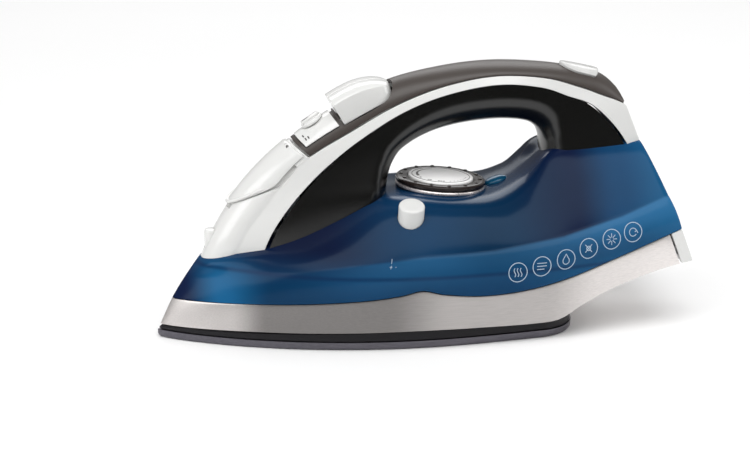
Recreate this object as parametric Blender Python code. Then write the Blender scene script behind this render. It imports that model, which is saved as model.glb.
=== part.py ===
"""Steam iron: soleplate and heater, silver skirt, blue water tank, bridge handle, pumps, controls and dial.

Sizes are in millimetres and are turned into metres where a mesh is made. A design point is (x, y, z) with x
measured from the tip of the nose towards the heel, y across, and z up from the face that irons. The finished
model has its origin under the middle of the iron, on that face, with +X towards the heel and +Z up.
"""

import math

import bmesh
import bpy
from mathutils import Matrix, Vector

MM = 0.001

# Driving dimensions
LENGTH = 298.0
HALF_WIDTH = 60.0
WIDEST_X = 150.0
GAP = 0.3
WALL = 2.2
NOSE_MITRE = 1.6

# Sole and heater
SOLE_LENGTH = 233.0
SOLE_HALF = 52.0
SOLE_THICK = 4.2
SOLE_CHAMFER = 1.4
HEM_GAP = 0.6
SHIELD_DECK = 28.0
SHIELD_WALL = 2.0
CASTING_INSET = 7.6
CASTING_TOP = 9.2
CHAMBER_INSET = 18.0
CHAMBER_TOP = 14.6
ELEMENT_RADIUS = 3.0
TERMINAL_TOP = 33.0
STEAM_HOLE_RADIUS = 1.5

# The rear face leans forward as it rises
REAR_FOOT_Z = 38.0
REAR_LEAN = math.radians(21.0)
REAR_PLATE = 2.6
REAR_RECESS = 0.8

# Skirt, tank and the tub inside the tank
HEEL_CAP_SHARE = 0.982
TUB_FLOOR_Z = 29.0
TUB_RIM_Z = 43.0
BULKHEAD_X = 184.0
SEAT_FLOOR = 69.6

# Dial and its spindle
DIAL_X = 161.3
DIAL_Z = 78.0
DIAL_TILT = math.radians(4.4)
DIAL_RADIUS = 25.4
DIAL_TRIM_THICK = 2.3
DIAL_RING_THICK = 3.0
DIAL_CAP_RADIUS = 18.4
DIAL_CAP_THICK = 1.3
SPINDLE_RADIUS = 2.6
DIAL_SIDES = 28

PILOT_X = DIAL_X + DIAL_RADIUS + 6.8

# Handle
GRIP_COVER_THICK = 2.4
FRAME_DEPTH = GRIP_COVER_THICK + GAP + WALL
JOINT_LIP = 0.5
COVER_FRONT_X = 76.0
COVER_REAR_KEY = 12.0

# Buttons, pumps and steam control
BUTTON_FRONT_X = 101.0
BUTTON_REAR_X = 131.0
BUTTON_TRAVEL = 3.2
BUTTON_SKIRT_DEPTH = 4.5
PUMP_X = 116.0
PUMP_Y = 6.8
PUMP_BARREL_TOP = 12.5
PUMP_BARREL_LENGTH = 17.0
LEVER_X = 89.0
LEVER_RADIUS = 6.4
VALVE_ROD_X = 93.5
VALVE_ROD_RADIUS = 1.6

# Filler
DOOR_FRONT_X = 41.5
DOOR_REAR_X = 74.6
DOOR_THICK = 2.0
DOOR_PIN_RADIUS = 0.6
DOOR_PIN_X = DOOR_REAR_X - 1.4
DOOR_PIN_DEPTH = 0.6
DOOR_HEEL_RADIUS = 1.9
FUNNEL_X = 59.0
FUNNEL_RADIUS = 8.6
FUNNEL_DEPTH = 13.0
FILL_PIPE_X = 76.6
FILL_PIPE_RADIUS = 4.6

# Spray nozzle
NOZZLE_X = 31.0
NOZZLE_Z = 48.1

# Self-clean button
CLEAN_X = 136.0
CLEAN_Y = -41.5
CLEAN_LEAN = math.radians(19.0)
CLEAN_RADIUS = 7.2
CLEAN_HEIGHT = 7.4
CLEAN_SUNK = 7.5
CLEAN_TRAVEL = 3.0

# Cord gland
GLAND_Z = 113.0
GLAND_RADIUS = 6.2
CORD_RADIUS = 3.4

SMOOTH = math.radians(32)


# ---------------------------------------------------------------- curves


def rail(*knots):
    """A smooth curve through knots (x, value), as a function of x, with each slope from the two neighbours."""
    xs = [k[0] for k in knots]
    ys = [k[1] for k in knots]
    last = len(xs) - 1
    slopes = []
    for i in range(last + 1):
        a, b = max(i - 1, 0), min(i + 1, last)
        slopes.append((ys[b] - ys[a]) / (xs[b] - xs[a]))

    def at(x):
        i = 0
        while i < last - 1 and x > xs[i + 1]:
            i += 1
        step = xs[i + 1] - xs[i]
        t = (x - xs[i]) / step
        if t < 0 or t > 1:
            edge = 0 if t < 0 else 1
            return ys[i + edge] + slopes[i + edge] * (x - xs[i + edge])
        h00 = (1 + 2 * t) * (1 - t) ** 2
        h10 = t * (1 - t) ** 2
        h01 = t * t * (3 - 2 * t)
        h11 = t * t * (t - 1)
        return h00 * ys[i] + h10 * step * slopes[i] + h01 * ys[i + 1] + h11 * step * slopes[i + 1]

    return at


def spread(start, end, count):
    """count + 1 even values from start to end."""
    return [start + (end - start) * i / count for i in range(count + 1)]


def solve(function, target, low, high):
    """The argument between low and high at which a rising function reaches target."""
    for _ in range(40):
        middle = (low + high) / 2
        if function(middle) < target:
            low = middle
        else:
            high = middle
    return (low + high) / 2


def rear_x(z):
    """Where the leaning rear face stands at height z."""
    return LENGTH - (z - REAR_FOOT_Z) * math.tan(REAR_LEAN)


def ogive(x, nose, half, rear_half, rear):
    """Half width of a boat-shaped outline: pointed at the nose, widest at WIDEST_X, drawn in towards the rear."""
    if x < WIDEST_X:
        return half * math.sin(math.pi / 2 * max(0.0, (x - nose) / (WIDEST_X - nose)) ** 0.8)
    return half - (half - rear_half) * ((x - WIDEST_X) / (rear - WIDEST_X)) ** 1.7


# ---------------------------------------------------------------- body surface


class BodyRail:
    """One lengthwise line of the body: its nose, its height along x, and its half width along x."""

    def __init__(self, nose, rear_z, height, half):
        self.nose = nose
        self.rear = rear_x(rear_z)
        self.height = height
        self.half = half

    def point(self, share):
        x = self.nose + (self.rear - self.nose) * share
        return Vector((x, -max(0.0, self.half(x)) if share > 0 else 0.0, self.height(x)))


def body_rails():
    """Hem, seam, shoulder, brow and crest, from the bottom of the skirt to the middle of the top."""
    hem_rear, seam_rear, shoulder_rear, brow_rear, crest_rear = REAR_FOOT_Z, 57.5, 76.0, 101.0, 102.5
    return [
        BodyRail(
            1.6,
            hem_rear,
            rail((1.6, 7.4), (42, 9.4), (73, 10.3), (105, 10.9), (138, 11.3), (172, 10.9), (207, 10.6),
                 (219, 12), (231, 18.5), (245, 25), (258, 29.5), (279, 35), (LENGTH, hem_rear)),
            lambda x: ogive(x, 1.6, HALF_WIDTH - 4.0, 42.5, LENGTH),
        ),
        BodyRail(
            8.6,
            seam_rear,
            rail((8.6, 22.2), (42, 25), (84, 28.4), (112, 31), (128, 33.3), (139, 35.6), (150, 33),
                 (172, 30.5), (196, 31.4), (220, 35.6), (245, 43), (rear_x(seam_rear), seam_rear)),
            lambda x: ogive(x, 8.6, HALF_WIDTH, 44.0, rear_x(seam_rear)),
        ),
        BodyRail(
            15.2,
            shoulder_rear,
            rail((15.2, 33), (60, 43), (100, 49.5), (140, 54), (180, 55), (220, 59.5), (255, 67.5),
                 (rear_x(shoulder_rear), shoulder_rear)),
            lambda x: ogive(x, 15.2, HALF_WIDTH - 2.8, 40.0, rear_x(shoulder_rear)),
        ),
        BodyRail(
            22.6,
            brow_rear,
            rail((22.6, 43.5), (35, 46.5), (56, 51), (78, 57), (100, 66), (122, 75.5), (142, 77), (165, 75.5),
                 (190, 76), (204, 81.5), (212, 89.5), (218, 96), (226, 99), (240, 99.6), (rear_x(brow_rear), brow_rear)),
            rail((22.6, 0), (25.5, 7), (30, 11.8), (40, 17.3), (56, 22.5), (78, 24.5), (100, 27.5), (140, 36), (172, 38), (196, 33), (210, 26),
                 (218, 22.5), (rear_x(brow_rear), 19.5)),
        ),
        BodyRail(
            24.0,
            crest_rear,
            rail((24, 45.2), (56, 53.5), (100, 70), (122, 78), (150, 78.5), (175, 77), (192, 78.6), (204, 84),
                 (214, 91.5), (222, 98), (232, 100.5), (rear_x(crest_rear), crest_rear)),
            lambda x: 0.0,
        ),
    ]


BODY = body_rails()
BODY_ROWS = [1, 1.35, 1.7, 2, 2.35, 2.7, 3, 3.4, 4]
BODY_SHARES = [*spread(0, 0.94, 20), HEEL_CAP_SHARE, 1.0]


def body_surface(u, v):
    """A point of the body's right side: u runs from the nose (0) to the rear (1), v over the rails (0 to 4)."""
    share = u**1.5
    points = [line.point(share) for line in BODY]
    beyond = points[3].copy()
    beyond.y = -beyond.y
    points.append(beyond)
    along = [0.0]
    for a, b in zip(points, points[1:]):
        along.append(along[-1] + max((b - a).length, 0.05))
    i = min(int(v), 3)
    place = along[i] + (along[i + 1] - along[i]) * (v - i)
    x, y, z = (rail(*zip(along, [p[axis] for p in points]))(place) for axis in range(3))
    on_plane = share == 0 or v == 4
    return Vector((x, 0.0 if on_plane else min(y, 0.0), z))


# ---------------------------------------------------------------- handle surface

# Each row is one station of the handle, from the nose end to the rear: top, upper and lower edge of the white
# band, underside, then the half widths at the band's two edges and at the side, and the underside's rounding.
HANDLE_KEYS = (
    ((21, 36), (37, 34), (53, 38), (118.5, 34), 13.2, 20.0, 22.5, 13),
    ((32, 60), (47, 58), (62, 60), (127.5, 62), 14.6, 20.0, 23.0, 13),
    ((45, 80), (58.5, 74.5), (73, 76), (129.5, 80), 15.2, 19.5, 23.0, 13),
    ((60, 96.5), (71, 89.5), (84, 88), (130.8, 88), 15.4, 18.8, 21.5, 13),
    ((76, 109.6), (84.5, 102.3), (95, 98), (133.5, 95.5), 15.5, 18.3, 20.0, 13.5),
    ((100, 125.2), (107, 115), (112, 111), (139.5, 103), 15.5, 18.0, 18.5, 14),
    ((130, 139.8), (134, 129.3), (136, 125.2), (153, 110), 15.5, 17.7, 17.8, 15),
    ((160, 146.3), (161, 138.6), (161, 134.2), (169.5, 114.2), 15.3, 17.5, 17.5, 16),
    ((190, 148.6), (190, 143), (190, 138.6), (190.5, 116), 15.0, 17.3, 17.5, 16),
    ((221, 146.4), (218, 140.6), (215, 136), (207.5, 114.6), 15.0, 17.3, 17.8, 16),
    ((244, 142), (237, 134.8), (231, 130.2), (215, 111), 15.0, 17.5, 18.3, 15),
    ((256, 137.4), (250, 129.6), (243.5, 125.4), (218.2, 105), 14.5, 17.8, 19.0, 13),
    ((268, 125.5), (265.5, 122.5), (254.5, 115.5), (219, 98.5), 14.0, 18.0, 20.0, 12),
    ((281, 112), (274, 109), (264, 103), (219.5, 90.5), 14.0, 18.5, 21.0, 12),
    ((292, 90), (284, 88), (273, 85), (220.5, 80), 14.0, 19.0, 21.5, 12),
)
LAST_KEY = len(HANDLE_KEYS) - 1


def key_rail(pick):
    return rail(*[(i, pick(key)) for i, key in enumerate(HANDLE_KEYS)])


TOP_X, TOP_Z = key_rail(lambda k: k[0][0]), key_rail(lambda k: k[0][1])
UPPER_X, UPPER_Z = key_rail(lambda k: k[1][0]), key_rail(lambda k: k[1][1])
LOWER_X, LOWER_Z = key_rail(lambda k: k[2][0]), key_rail(lambda k: k[2][1])
UNDER_X, UNDER_Z = key_rail(lambda k: k[3][0]), key_rail(lambda k: k[3][1])
UPPER_HALF, LOWER_HALF = key_rail(lambda k: k[4]), key_rail(lambda k: k[5])
SIDE_HALF, UNDER_ROUND = key_rail(lambda k: k[6]), key_rail(lambda k: k[7])


def handle_surface(t, p):
    """A point of the handle's right side: t is the station, p goes over top, band, side and underside (0 to 4)."""
    top = Vector((TOP_X(t), 0, TOP_Z(t)))
    upper = Vector((UPPER_X(t), 0, UPPER_Z(t)))
    lower = Vector((LOWER_X(t), 0, LOWER_Z(t)))
    under = Vector((UNDER_X(t), 0, UNDER_Z(t)))
    side = under + (lower - under).normalized() * UNDER_ROUND(t)
    if p <= 1:
        angle = (1 - p) * math.pi / 2
        point = upper + (top - upper) * math.sin(angle)
        half = UPPER_HALF(t) * math.cos(angle)
    elif p <= 2:
        point = upper.lerp(lower, p - 1)
        half = UPPER_HALF(t) + (LOWER_HALF(t) - UPPER_HALF(t)) * (p - 1)
    elif p <= 3:
        point = lower.lerp(side, p - 2)
        half = LOWER_HALF(t) + (SIDE_HALF(t) - LOWER_HALF(t)) * (p - 2)
    else:
        angle = (p - 3) * math.pi / 2
        point = side + (under - side) * math.sin(angle)
        half = SIDE_HALF(t) * math.cos(angle)
    point.y = 0.0 if p in (0, 4) else -half
    return point


def station_at(x):
    """The handle station whose top lies at x."""
    return solve(TOP_X, x, 0.0, float(LAST_KEY))


def row_at(t, y):
    """The row over the top of the handle that lies y from its middle."""
    return math.asin(min(abs(y) / UPPER_HALF(t), 1.0)) * 2 / math.pi


class Surface:
    """The right half of a curved surface over (a, b), with facing -1 where a and b run the other way round."""

    def __init__(self, point, last_a, last_b, facing):
        self.point = point
        self.last_a = last_a
        self.last_b = last_b
        self.facing = facing

    def lifted(self, a, b, height):
        """The surface's point (a, b), moved outwards by height along its normal."""
        step = 0.004
        a0, a1 = max(a - step, 0.0), min(a + step, self.last_a)
        b0, b1 = max(b - step, 0.0), min(b + step, self.last_b)
        along = self.point(a1, b) - self.point(a0, b)
        across = self.point(a, b1) - self.point(a, b0)
        normal = along.cross(across).normalized() * self.facing
        point = self.point(a, b)
        if a == 0 and self.facing > 0:
            normal = Vector((-NOSE_MITRE, 0.0, 0.0))
        elif abs(point.y) < 1e-6:
            flat = Vector((normal.x, 0.0, normal.z)).normalized()
            normal = flat / max(normal.dot(flat), 0.45)
        return point + normal * height


OUTSIDE = Surface(body_surface, 1.0, 4.0, 1)
HANDLE = Surface(handle_surface, float(LAST_KEY), 4.0, -1)


# ---------------------------------------------------------------- mesh helpers


def world(point):
    return Vector(((point[0] - LENGTH / 2) * MM, point[1] * MM, point[2] * MM))


def paint(name, colour, roughness, metallic=0.0):
    made = bpy.data.materials.new(name)
    made.use_nodes = True
    shader = made.node_tree.nodes["Principled BSDF"]
    shader.inputs["Base Color"].default_value = (*colour, 1.0)
    shader.inputs["Roughness"].default_value = roughness
    shader.inputs["Metallic"].default_value = metallic
    return made


def object_from(name, mesh, material, smooth=True):
    mesh.materials.append(material)
    if smooth:
        mesh.shade_smooth()
        mesh.set_sharp_from_angle(angle=SMOOTH)
    made = bpy.data.objects.new(name, mesh)
    bpy.context.scene.collection.objects.link(made)
    return made


def solid_from(name, points, faces, material, mirrored=False, smooth=True):
    """A closed mesh from design points and faces, with its mirror image joined on at y = 0 if asked."""
    work = bmesh.new()
    corners = [work.verts.new(world(p)) for p in points]
    for face in faces:
        ring = list(dict.fromkeys(face))
        if len(ring) > 2:
            work.faces.new([corners[i] for i in ring])
    if mirrored:
        copy = bmesh.ops.duplicate(work, geom=work.verts[:] + work.edges[:] + work.faces[:])["geom"]
        twins = [g for g in copy if isinstance(g, bmesh.types.BMVert)]
        bmesh.ops.scale(work, vec=(1, -1, 1), verts=twins)
        bmesh.ops.reverse_faces(work, faces=[g for g in copy if isinstance(g, bmesh.types.BMFace)])
    bmesh.ops.remove_doubles(work, verts=work.verts[:], dist=2e-6)
    bmesh.ops.dissolve_degenerate(work, edges=work.edges[:], dist=2e-6)
    bmesh.ops.recalc_face_normals(work, faces=work.faces[:])
    mesh = bpy.data.meshes.new(name)
    work.to_mesh(mesh)
    work.free()
    return object_from(name, mesh, material, smooth)


def shell(name, material, surface, a_values, b_values, outside, inside, mirrored=True):
    """A wall that follows a surface. outside and inside are heights above it, as functions of (a, b)."""
    rows, columns = len(a_values), len(b_values)
    points = [surface.lifted(a, b, outside(a, b)) for a in a_values for b in b_values]
    points += [surface.lifted(a, b, inside(a, b)) for a in a_values for b in b_values]
    inner = rows * columns

    def at(i, j):
        return i * columns + j

    faces = []
    for i in range(rows - 1):
        for j in range(columns - 1):
            quad = [at(i, j), at(i + 1, j), at(i + 1, j + 1), at(i, j + 1)]
            faces.append(quad)
            faces.append([q + inner for q in reversed(quad)])
    edges = [[at(i, 0) for i in range(rows)], [at(i, columns - 1) for i in range(rows)]]
    edges += [[at(0, j) for j in range(columns)], [at(rows - 1, j) for j in range(columns)]]
    for edge in edges:
        if mirrored and all(abs(points[e].y) < 1e-6 for e in edge):
            continue
        for a, b in zip(edge, edge[1:]):
            faces.append([a, b, b + inner, a + inner])
    return solid_from(name, points, faces, material, mirrored)


def stacked(name, material, rings, smooth=True):
    """A closed solid through rings of equal point counts, with its first and last ring capped."""
    count = len(rings[0])
    points = [p for ring in rings for p in ring]
    faces = [list(range(count))[::-1], [len(points) - count + i for i in range(count)]]
    for level in range(len(rings) - 1):
        for i in range(count):
            a, b = level * count + i, level * count + (i + 1) % count
            faces.append([a, b, b + count, a + count])
    return solid_from(name, points, faces, material, smooth=smooth)


def looped(name, material, rings, smooth=True):
    """A closed band through rings of equal point counts, whose last ring joins its first."""
    count = len(rings[0])
    points = [p for ring in rings for p in ring]
    total = len(points)
    faces = []
    for level in range(len(rings)):
        for i in range(count):
            a, b = level * count + i, level * count + (i + 1) % count
            faces.append([a, b, (b + count) % total, (a + count) % total])
    return solid_from(name, points, faces, material, smooth=smooth)


def frame_along(axis):
    """Two unit vectors square to an axis."""
    axis = Vector(axis).normalized()
    side = Vector((0, 1, 0)) if abs(axis.y) < 0.9 else Vector((1, 0, 0))
    first = axis.cross(side).normalized()
    return axis, first, axis.cross(first)


def turned(name, material, base, axis, profile, segments=24, stretch=1.0):
    """A solid of revolution. profile is (radius, height) pairs along axis from base, closed on itself if hollow."""
    axis, first, second = frame_along(axis)
    rings = []
    for radius, height in profile:
        rings.append([
            Vector(base) + axis * height
            + first * (max(radius, 0.001) * math.cos(2 * math.pi * i / segments))
            + second * (max(radius, 0.001) * stretch * math.sin(2 * math.pi * i / segments))
            for i in range(segments)
        ])
    hollow = profile[0] == profile[-1]
    if hollow:
        return looped(name, material, rings[:-1])
    return stacked(name, material, rings)


def rod(name, material, start, end, radius, segments=16):
    start, end = Vector(start), Vector(end)
    return turned(name, material, start, end - start, [(radius, 0), (radius, (end - start).length)], segments)


def sleeve(name, material, start, end, outer, inner, segments=20):
    start, end = Vector(start), Vector(end)
    length = (end - start).length
    profile = [(inner, 0), (outer, 0), (outer, length), (inner, length), (inner, 0)]
    return turned(name, material, start, end - start, profile, segments)


def block(name, material, centre, size, axis_x=(1, 0, 0), up=(0, 0, 1)):
    """A box with given sides, turned so that its x side follows axis_x and its z side follows up."""
    along = Vector(axis_x).normalized()
    up = Vector(up).normalized()
    across = up.cross(along)
    rings = []
    for top in (-0.5, 0.5):
        ring = []
        for a, b in ((-0.5, -0.5), (0.5, -0.5), (0.5, 0.5), (-0.5, 0.5)):
            ring.append(Vector(centre) + along * size[0] * a + across * size[1] * b + up * size[2] * top)
        rings.append(ring)
    return stacked(name, material, rings, smooth=False)


def tube(name, material, points, radius, sides=8):
    """A round wire, hose or rod that follows a path."""
    points = [Vector(p) for p in points]
    rings = []
    _, first, second = frame_along(points[1] - points[0])
    for i, point in enumerate(points):
        ahead = points[min(i + 1, len(points) - 1)] - points[max(i - 1, 0)]
        ahead.normalize()
        first = (first - ahead * first.dot(ahead)).normalized()
        second = ahead.cross(first)
        rings.append([
            point + (first * math.cos(2 * math.pi * k / sides) + second * math.sin(2 * math.pi * k / sides)) * radius
            for k in range(sides)
        ])
    return stacked(name, material, rings)


def through(points, steps):
    """Points along one smooth curve that passes through the given ones."""
    along = [0.0]
    for a, b in zip(points, points[1:]):
        along.append(along[-1] + (Vector(b) - Vector(a)).length)
    curves = [rail(*zip(along, [p[axis] for p in points])) for axis in range(3)]
    return [tuple(curve(s) for curve in curves) for s in spread(0, along[-1], steps)]


def spring(name, material, base, axis, radius, length, turns, wire):
    """A coil spring that stands on base along axis."""
    axis, first, second = frame_along(axis)
    steps = turns * 7
    path = []
    for i in range(steps + 1):
        angle = 2 * math.pi * turns * i / steps
        rise = wire + (length - 2 * wire) * i / steps
        path.append(Vector(base) + axis * rise + (first * math.cos(angle) + second * math.sin(angle)) * radius)
    return tube(name, material, path, wire, sides=4)


def boolean(target, tool, operation="DIFFERENCE"):
    """Cuts, joins or trims target by a helper object, which itself stays out of the model."""
    tool.hide_render = True
    tool.display_type = "WIRE"
    step = target.modifiers.new(tool.name, "BOOLEAN")
    step.object = tool
    step.operation = operation
    step.solver = "EXACT"


def pivot(target, point):
    """Puts an object's origin at a design point, on the axis that it moves on."""
    place = world(point)
    target.data.transform(Matrix.Translation(-place))
    target.location = place


# ---------------------------------------------------------------- sole, heater and shield


def plan_outline(inset, z, nose=0.0, heel=SOLE_LENGTH, half=SOLE_HALF, steps=11):
    """A closed outline of the sole's shape, drawn in by inset all round. z is a height, or a function of x."""
    height = z if callable(z) else lambda x: z
    tip = nose + 1.9 * inset
    end = heel - inset
    side = half - inset
    corner = 26.0
    right = []
    for share in spread(0, 1, steps):
        x = tip + (end - corner - tip) * share**1.5
        right.append((x, ogive(x, tip, side, side - 8.0, end)))
    start_x, start_half = right[-1]
    for angle in spread(0, math.pi / 2, 4)[1:]:
        right.append((start_x + corner * math.sin(angle), start_half * math.cos(angle) ** 0.55))
    ring = [Vector((x, -half_width, height(x))) for x, half_width in right[:-1]]
    ring.append(Vector((end, 0, height(end))))
    ring += [Vector((x, half_width, height(x))) for x, half_width in reversed(right[1:-1])]
    return ring


def steam_holes():
    """Places of the steam holes: a row along each edge of the nose, a few in the middle and two at the heel."""
    places = []
    for x in spread(34, 96, 4):
        half = ogive(x, 0, SOLE_HALF, SOLE_HALF, SOLE_LENGTH) - 13.5
        places += [(x, -half), (x, half)]
    places += [(62, 0), (78, 0)]
    for x in (122, 142, 196):
        places += [(x, -40.0), (x, 40.0)]
    return places


def make_sole(metal, cast, steel, rubber):
    sole = stacked("soleplate", metal, [
        plan_outline(SOLE_CHAMFER, 0),
        plan_outline(SOLE_CHAMFER * 0.25, SOLE_CHAMFER * 0.55),
        plan_outline(0, SOLE_THICK * 0.6),
        plan_outline(0, SOLE_THICK),
    ])
    holes = bmesh.new()
    for x, y in steam_holes():
        made = bmesh.ops.create_cone(
            holes, cap_ends=True, segments=6, radius1=STEAM_HOLE_RADIUS * MM, radius2=STEAM_HOLE_RADIUS * MM,
            depth=3 * SOLE_THICK * MM)
        bmesh.ops.translate(holes, vec=world((x, y, SOLE_THICK / 2)), verts=made["verts"])
    mesh = bpy.data.meshes.new("steam_hole_drills")
    holes.to_mesh(mesh)
    holes.free()
    boolean(sole, object_from("steam_hole_drills", mesh, metal, smooth=False))

    base = SOLE_THICK + GAP
    casting = stacked("heater_casting", cast, [
        plan_outline(CASTING_INSET, base),
        plan_outline(CASTING_INSET, CASTING_TOP),
        plan_outline(CHAMBER_INSET, CASTING_TOP + 0.4),
        plan_outline(CHAMBER_INSET, CHAMBER_TOP),
    ])
    inset = (CASTING_INSET + CHAMBER_INSET) / 2
    track = plan_outline(inset, CASTING_TOP + 0.4 + GAP + ELEMENT_RADIUS + 0.2)
    half = track[2:11]
    other = [Vector((p.x, -p.y, p.z)) for p in reversed(half)]
    terminals = [half[-1] + Vector((4, 0, 1.2)), half[-1] + Vector((6, 0, 5)),
                 Vector((half[-1].x + 6, half[-1].y, TERMINAL_TOP))]
    far_terminals = [Vector((p.x, -p.y, p.z)) for p in terminals]
    path = [*reversed(terminals), *reversed(half), Vector((track[2].x - 7, 0, track[2].z)),
            *reversed(other), *far_terminals]
    tube("heating_element", steel, path, ELEMENT_RADIUS, 8)

    seal_top = CHAMBER_TOP + GAP + 1.0
    looped("chamber_gasket", rubber, [
        plan_outline(CHAMBER_INSET + 0.4, CHAMBER_TOP + GAP),
        plan_outline(CHAMBER_INSET + 0.4, seal_top),
        plan_outline(CHAMBER_INSET + 4.0, seal_top),
        plan_outline(CHAMBER_INSET + 4.0, CHAMBER_TOP + GAP),
    ])
    cover = stacked("steam_chamber_cover", steel, [
        plan_outline(CHAMBER_INSET + 0.2, seal_top + GAP),
        plan_outline(CHAMBER_INSET + 0.2, seal_top + GAP + 1.2),
    ])
    boolean(cover, rod("valve_drill_cover", steel, (VALVE_ROD_X, 0, 5), (VALVE_ROD_X, 0, 60), 3.4))
    return casting, seal_top + GAP + 1.2, terminals[-1]


def make_shield(black, steel, casting, terminal):
    """The black heat shield: an inverted tray whose rim shows between the soleplate and the skirt."""
    bottom = SOLE_THICK + GAP

    def ledge(x):
        return min(BODY[0].height(min(x, SOLE_LENGTH - 20)), 11.5) - HEM_GAP

    outer = [(0.9, bottom, 0), (0.7, lambda x: ledge(x) - 0.5, 0), (4.6, ledge, 0), (6.0, SHIELD_DECK, 9)]
    inner = [(8.2, SHIELD_DECK - SHIELD_WALL, 9), (6.8, 9.0, 0), (6.4, bottom, 0)]
    rings = [plan_outline(inset, z, nose) for inset, z, nose in outer + inner]
    count = len(rings[0])
    points = [p for ring in rings for p in ring]
    faces = []
    for level in range(len(rings)):
        if level == len(outer) - 1:
            continue
        for i in range(count):
            a, b = level * count + i, level * count + (i + 1) % count
            faces.append([a, b, (b + count) % len(points), (a + count) % len(points)])
    deck = (len(outer) - 1) * count
    faces.append([deck + i for i in range(count)])
    faces.append([deck + count + i for i in range(count)][::-1])
    shield = solid_from("heat_shield", points, faces, black)
    boolean(shield, rod("valve_drill_shield", black, (VALVE_ROD_X, 0, 10), (VALVE_ROD_X, 0, 60), 4.6))
    boolean(shield, rod("spindle_drill_shield", black, *spindle_line(20, 36), 6.2))
    for side in (1, -1):
        boolean(shield, rod(f"terminal_drill_{side}", black, (terminal.x, terminal.y * side, 22),
                            (terminal.x, terminal.y * side, 40), ELEMENT_RADIUS + 1.0, 12))
    top = SHIELD_DECK + GAP
    for place, (x, y) in {"left": (217, 21), "right": (217, -21)}.items():
        boolean(shield, rod(f"screw_drill_{place}", black, (x, y, 20), (x, y, 40), 2.2, 12))
        boolean(casting, rod(f"screw_hole_{place}", black, (x, y, CASTING_TOP - 3.0), (x, y, 40), 1.8 + GAP, 12))
        turned(f"shield_screw_{place}", steel, (x, y, 0), (0, 0, 1), [
            (1.8, CASTING_TOP - 2.5), (1.8, top), (3.4, top), (3.0, top + 1.4)], 12)


# ---------------------------------------------------------------- dial


DIAL_AXIS = Vector((math.sin(DIAL_TILT), 0, math.cos(DIAL_TILT)))
DIAL_CENTRE = Vector((DIAL_X, 0, DIAL_Z))


def spindle_line(low_z, high_z):
    """The two points of the dial's axis at these heights."""
    return [DIAL_CENTRE + DIAL_AXIS * ((z - DIAL_Z) / DIAL_AXIS.z) for z in (low_z, high_z)]


def make_dial(chrome, dark, pale, steel, blue):
    trim = turned("dial_trim", chrome, DIAL_CENTRE, DIAL_AXIS, [
        (5.0, GAP), (DIAL_RADIUS - 0.6, GAP), (DIAL_RADIUS, GAP + 0.8), (DIAL_RADIUS - 0.3, DIAL_TRIM_THICK),
        (5.0, DIAL_TRIM_THICK), (5.0, GAP)], DIAL_SIDES)
    ring_base = DIAL_TRIM_THICK + GAP
    ring_top = ring_base + DIAL_RING_THICK
    ring = turned("dial_ring", dark, DIAL_CENTRE, DIAL_AXIS, [
        (SPINDLE_RADIUS + GAP, ring_base), (DIAL_RADIUS - 0.8, ring_base), (DIAL_RADIUS, ring_base + 1.0),
        (DIAL_RADIUS - 0.4, ring_top - 0.6), (DIAL_RADIUS - 1.4, ring_top), (DIAL_CAP_RADIUS + GAP, ring_top),
        (DIAL_CAP_RADIUS + GAP, ring_top - 1.2), (SPINDLE_RADIUS + GAP, ring_top - 1.2),
        (SPINDLE_RADIUS + GAP, ring_base)], DIAL_SIDES)
    cap_base = ring_top - 1.2 + GAP
    cap = turned("dial_cap", pale, DIAL_CENTRE, DIAL_AXIS, [
        (DIAL_CAP_RADIUS, cap_base), (DIAL_CAP_RADIUS, cap_base + DIAL_CAP_THICK),
        (DIAL_CAP_RADIUS - 1.0, cap_base + DIAL_CAP_THICK + 0.6),
        (DIAL_CAP_RADIUS * 0.5, cap_base + DIAL_CAP_THICK + 0.8)], DIAL_SIDES)
    low, _ = spindle_line(34, 70)
    top = DIAL_CENTRE + DIAL_AXIS * (ring_top - 1.2)
    spindle = rod("dial_spindle", steel, low, top, SPINDLE_RADIUS)
    sleeve("spindle_tube", blue, *spindle_line(31.6, 71.4), 5.6, 3.8)
    for piece in (ring, cap, spindle):
        pivot(piece, DIAL_CENTRE)
    return trim


# ---------------------------------------------------------------- skirt, tank and tub


def heel_floor(name, material, start, end):
    """The underside of the heel overhang between two x positions."""
    hem = BODY[0]
    xs = spread(start, end, max(2, round((end - start) / 8)))
    points = []
    for lift in (0.0, WALL):
        for x in xs:
            half = hem.half(x) - 1.0
            for y in spread(-half, half, 4):
                points.append(Vector((x, y, hem.height(x) + 0.2 + lift - 1.0 * (1 - (y / half) ** 2))))
    layer = len(xs) * 5
    faces = []
    for i in range(len(xs) - 1):
        for j in range(4):
            quad = [i * 5 + j, (i + 1) * 5 + j, (i + 1) * 5 + j + 1, i * 5 + j + 1]
            faces += [quad, [q + layer for q in reversed(quad)]]
    borders = [[i * 5 for i in range(len(xs))], [i * 5 + 4 for i in range(len(xs))],
               list(range(5)), [layer - 5 + j for j in range(5)]]
    for border in borders:
        faces += [[a, b, b + layer, a + layer] for a, b in zip(border, border[1:])]
    return solid_from(name, points, faces, material)


def make_skirt(silver, pale):
    """The silver skirt round the heater, and the cap that closes its heel end."""
    rows = [0, 0.5, 0.976]
    skirt = shell("lower_skirt", silver, OUTSIDE, BODY_SHARES[:-1], rows,
                  lambda a, b: 0.0, lambda a, b: -WALL)
    rest = shell("heel_rest", pale, OUTSIDE, [HEEL_CAP_SHARE + 0.002, 1.0], rows,
                 lambda a, b: 0.0, lambda a, b: -WALL)
    joint = OUTSIDE.point(HEEL_CAP_SHARE, 0).x
    boolean(skirt, heel_floor("skirt_floor", silver, SOLE_LENGTH - 2.0, joint - 1.5), "UNION")
    boolean(rest, heel_floor("rest_floor", pale, joint + 2.0, LENGTH - 1.5), "UNION")


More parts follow.
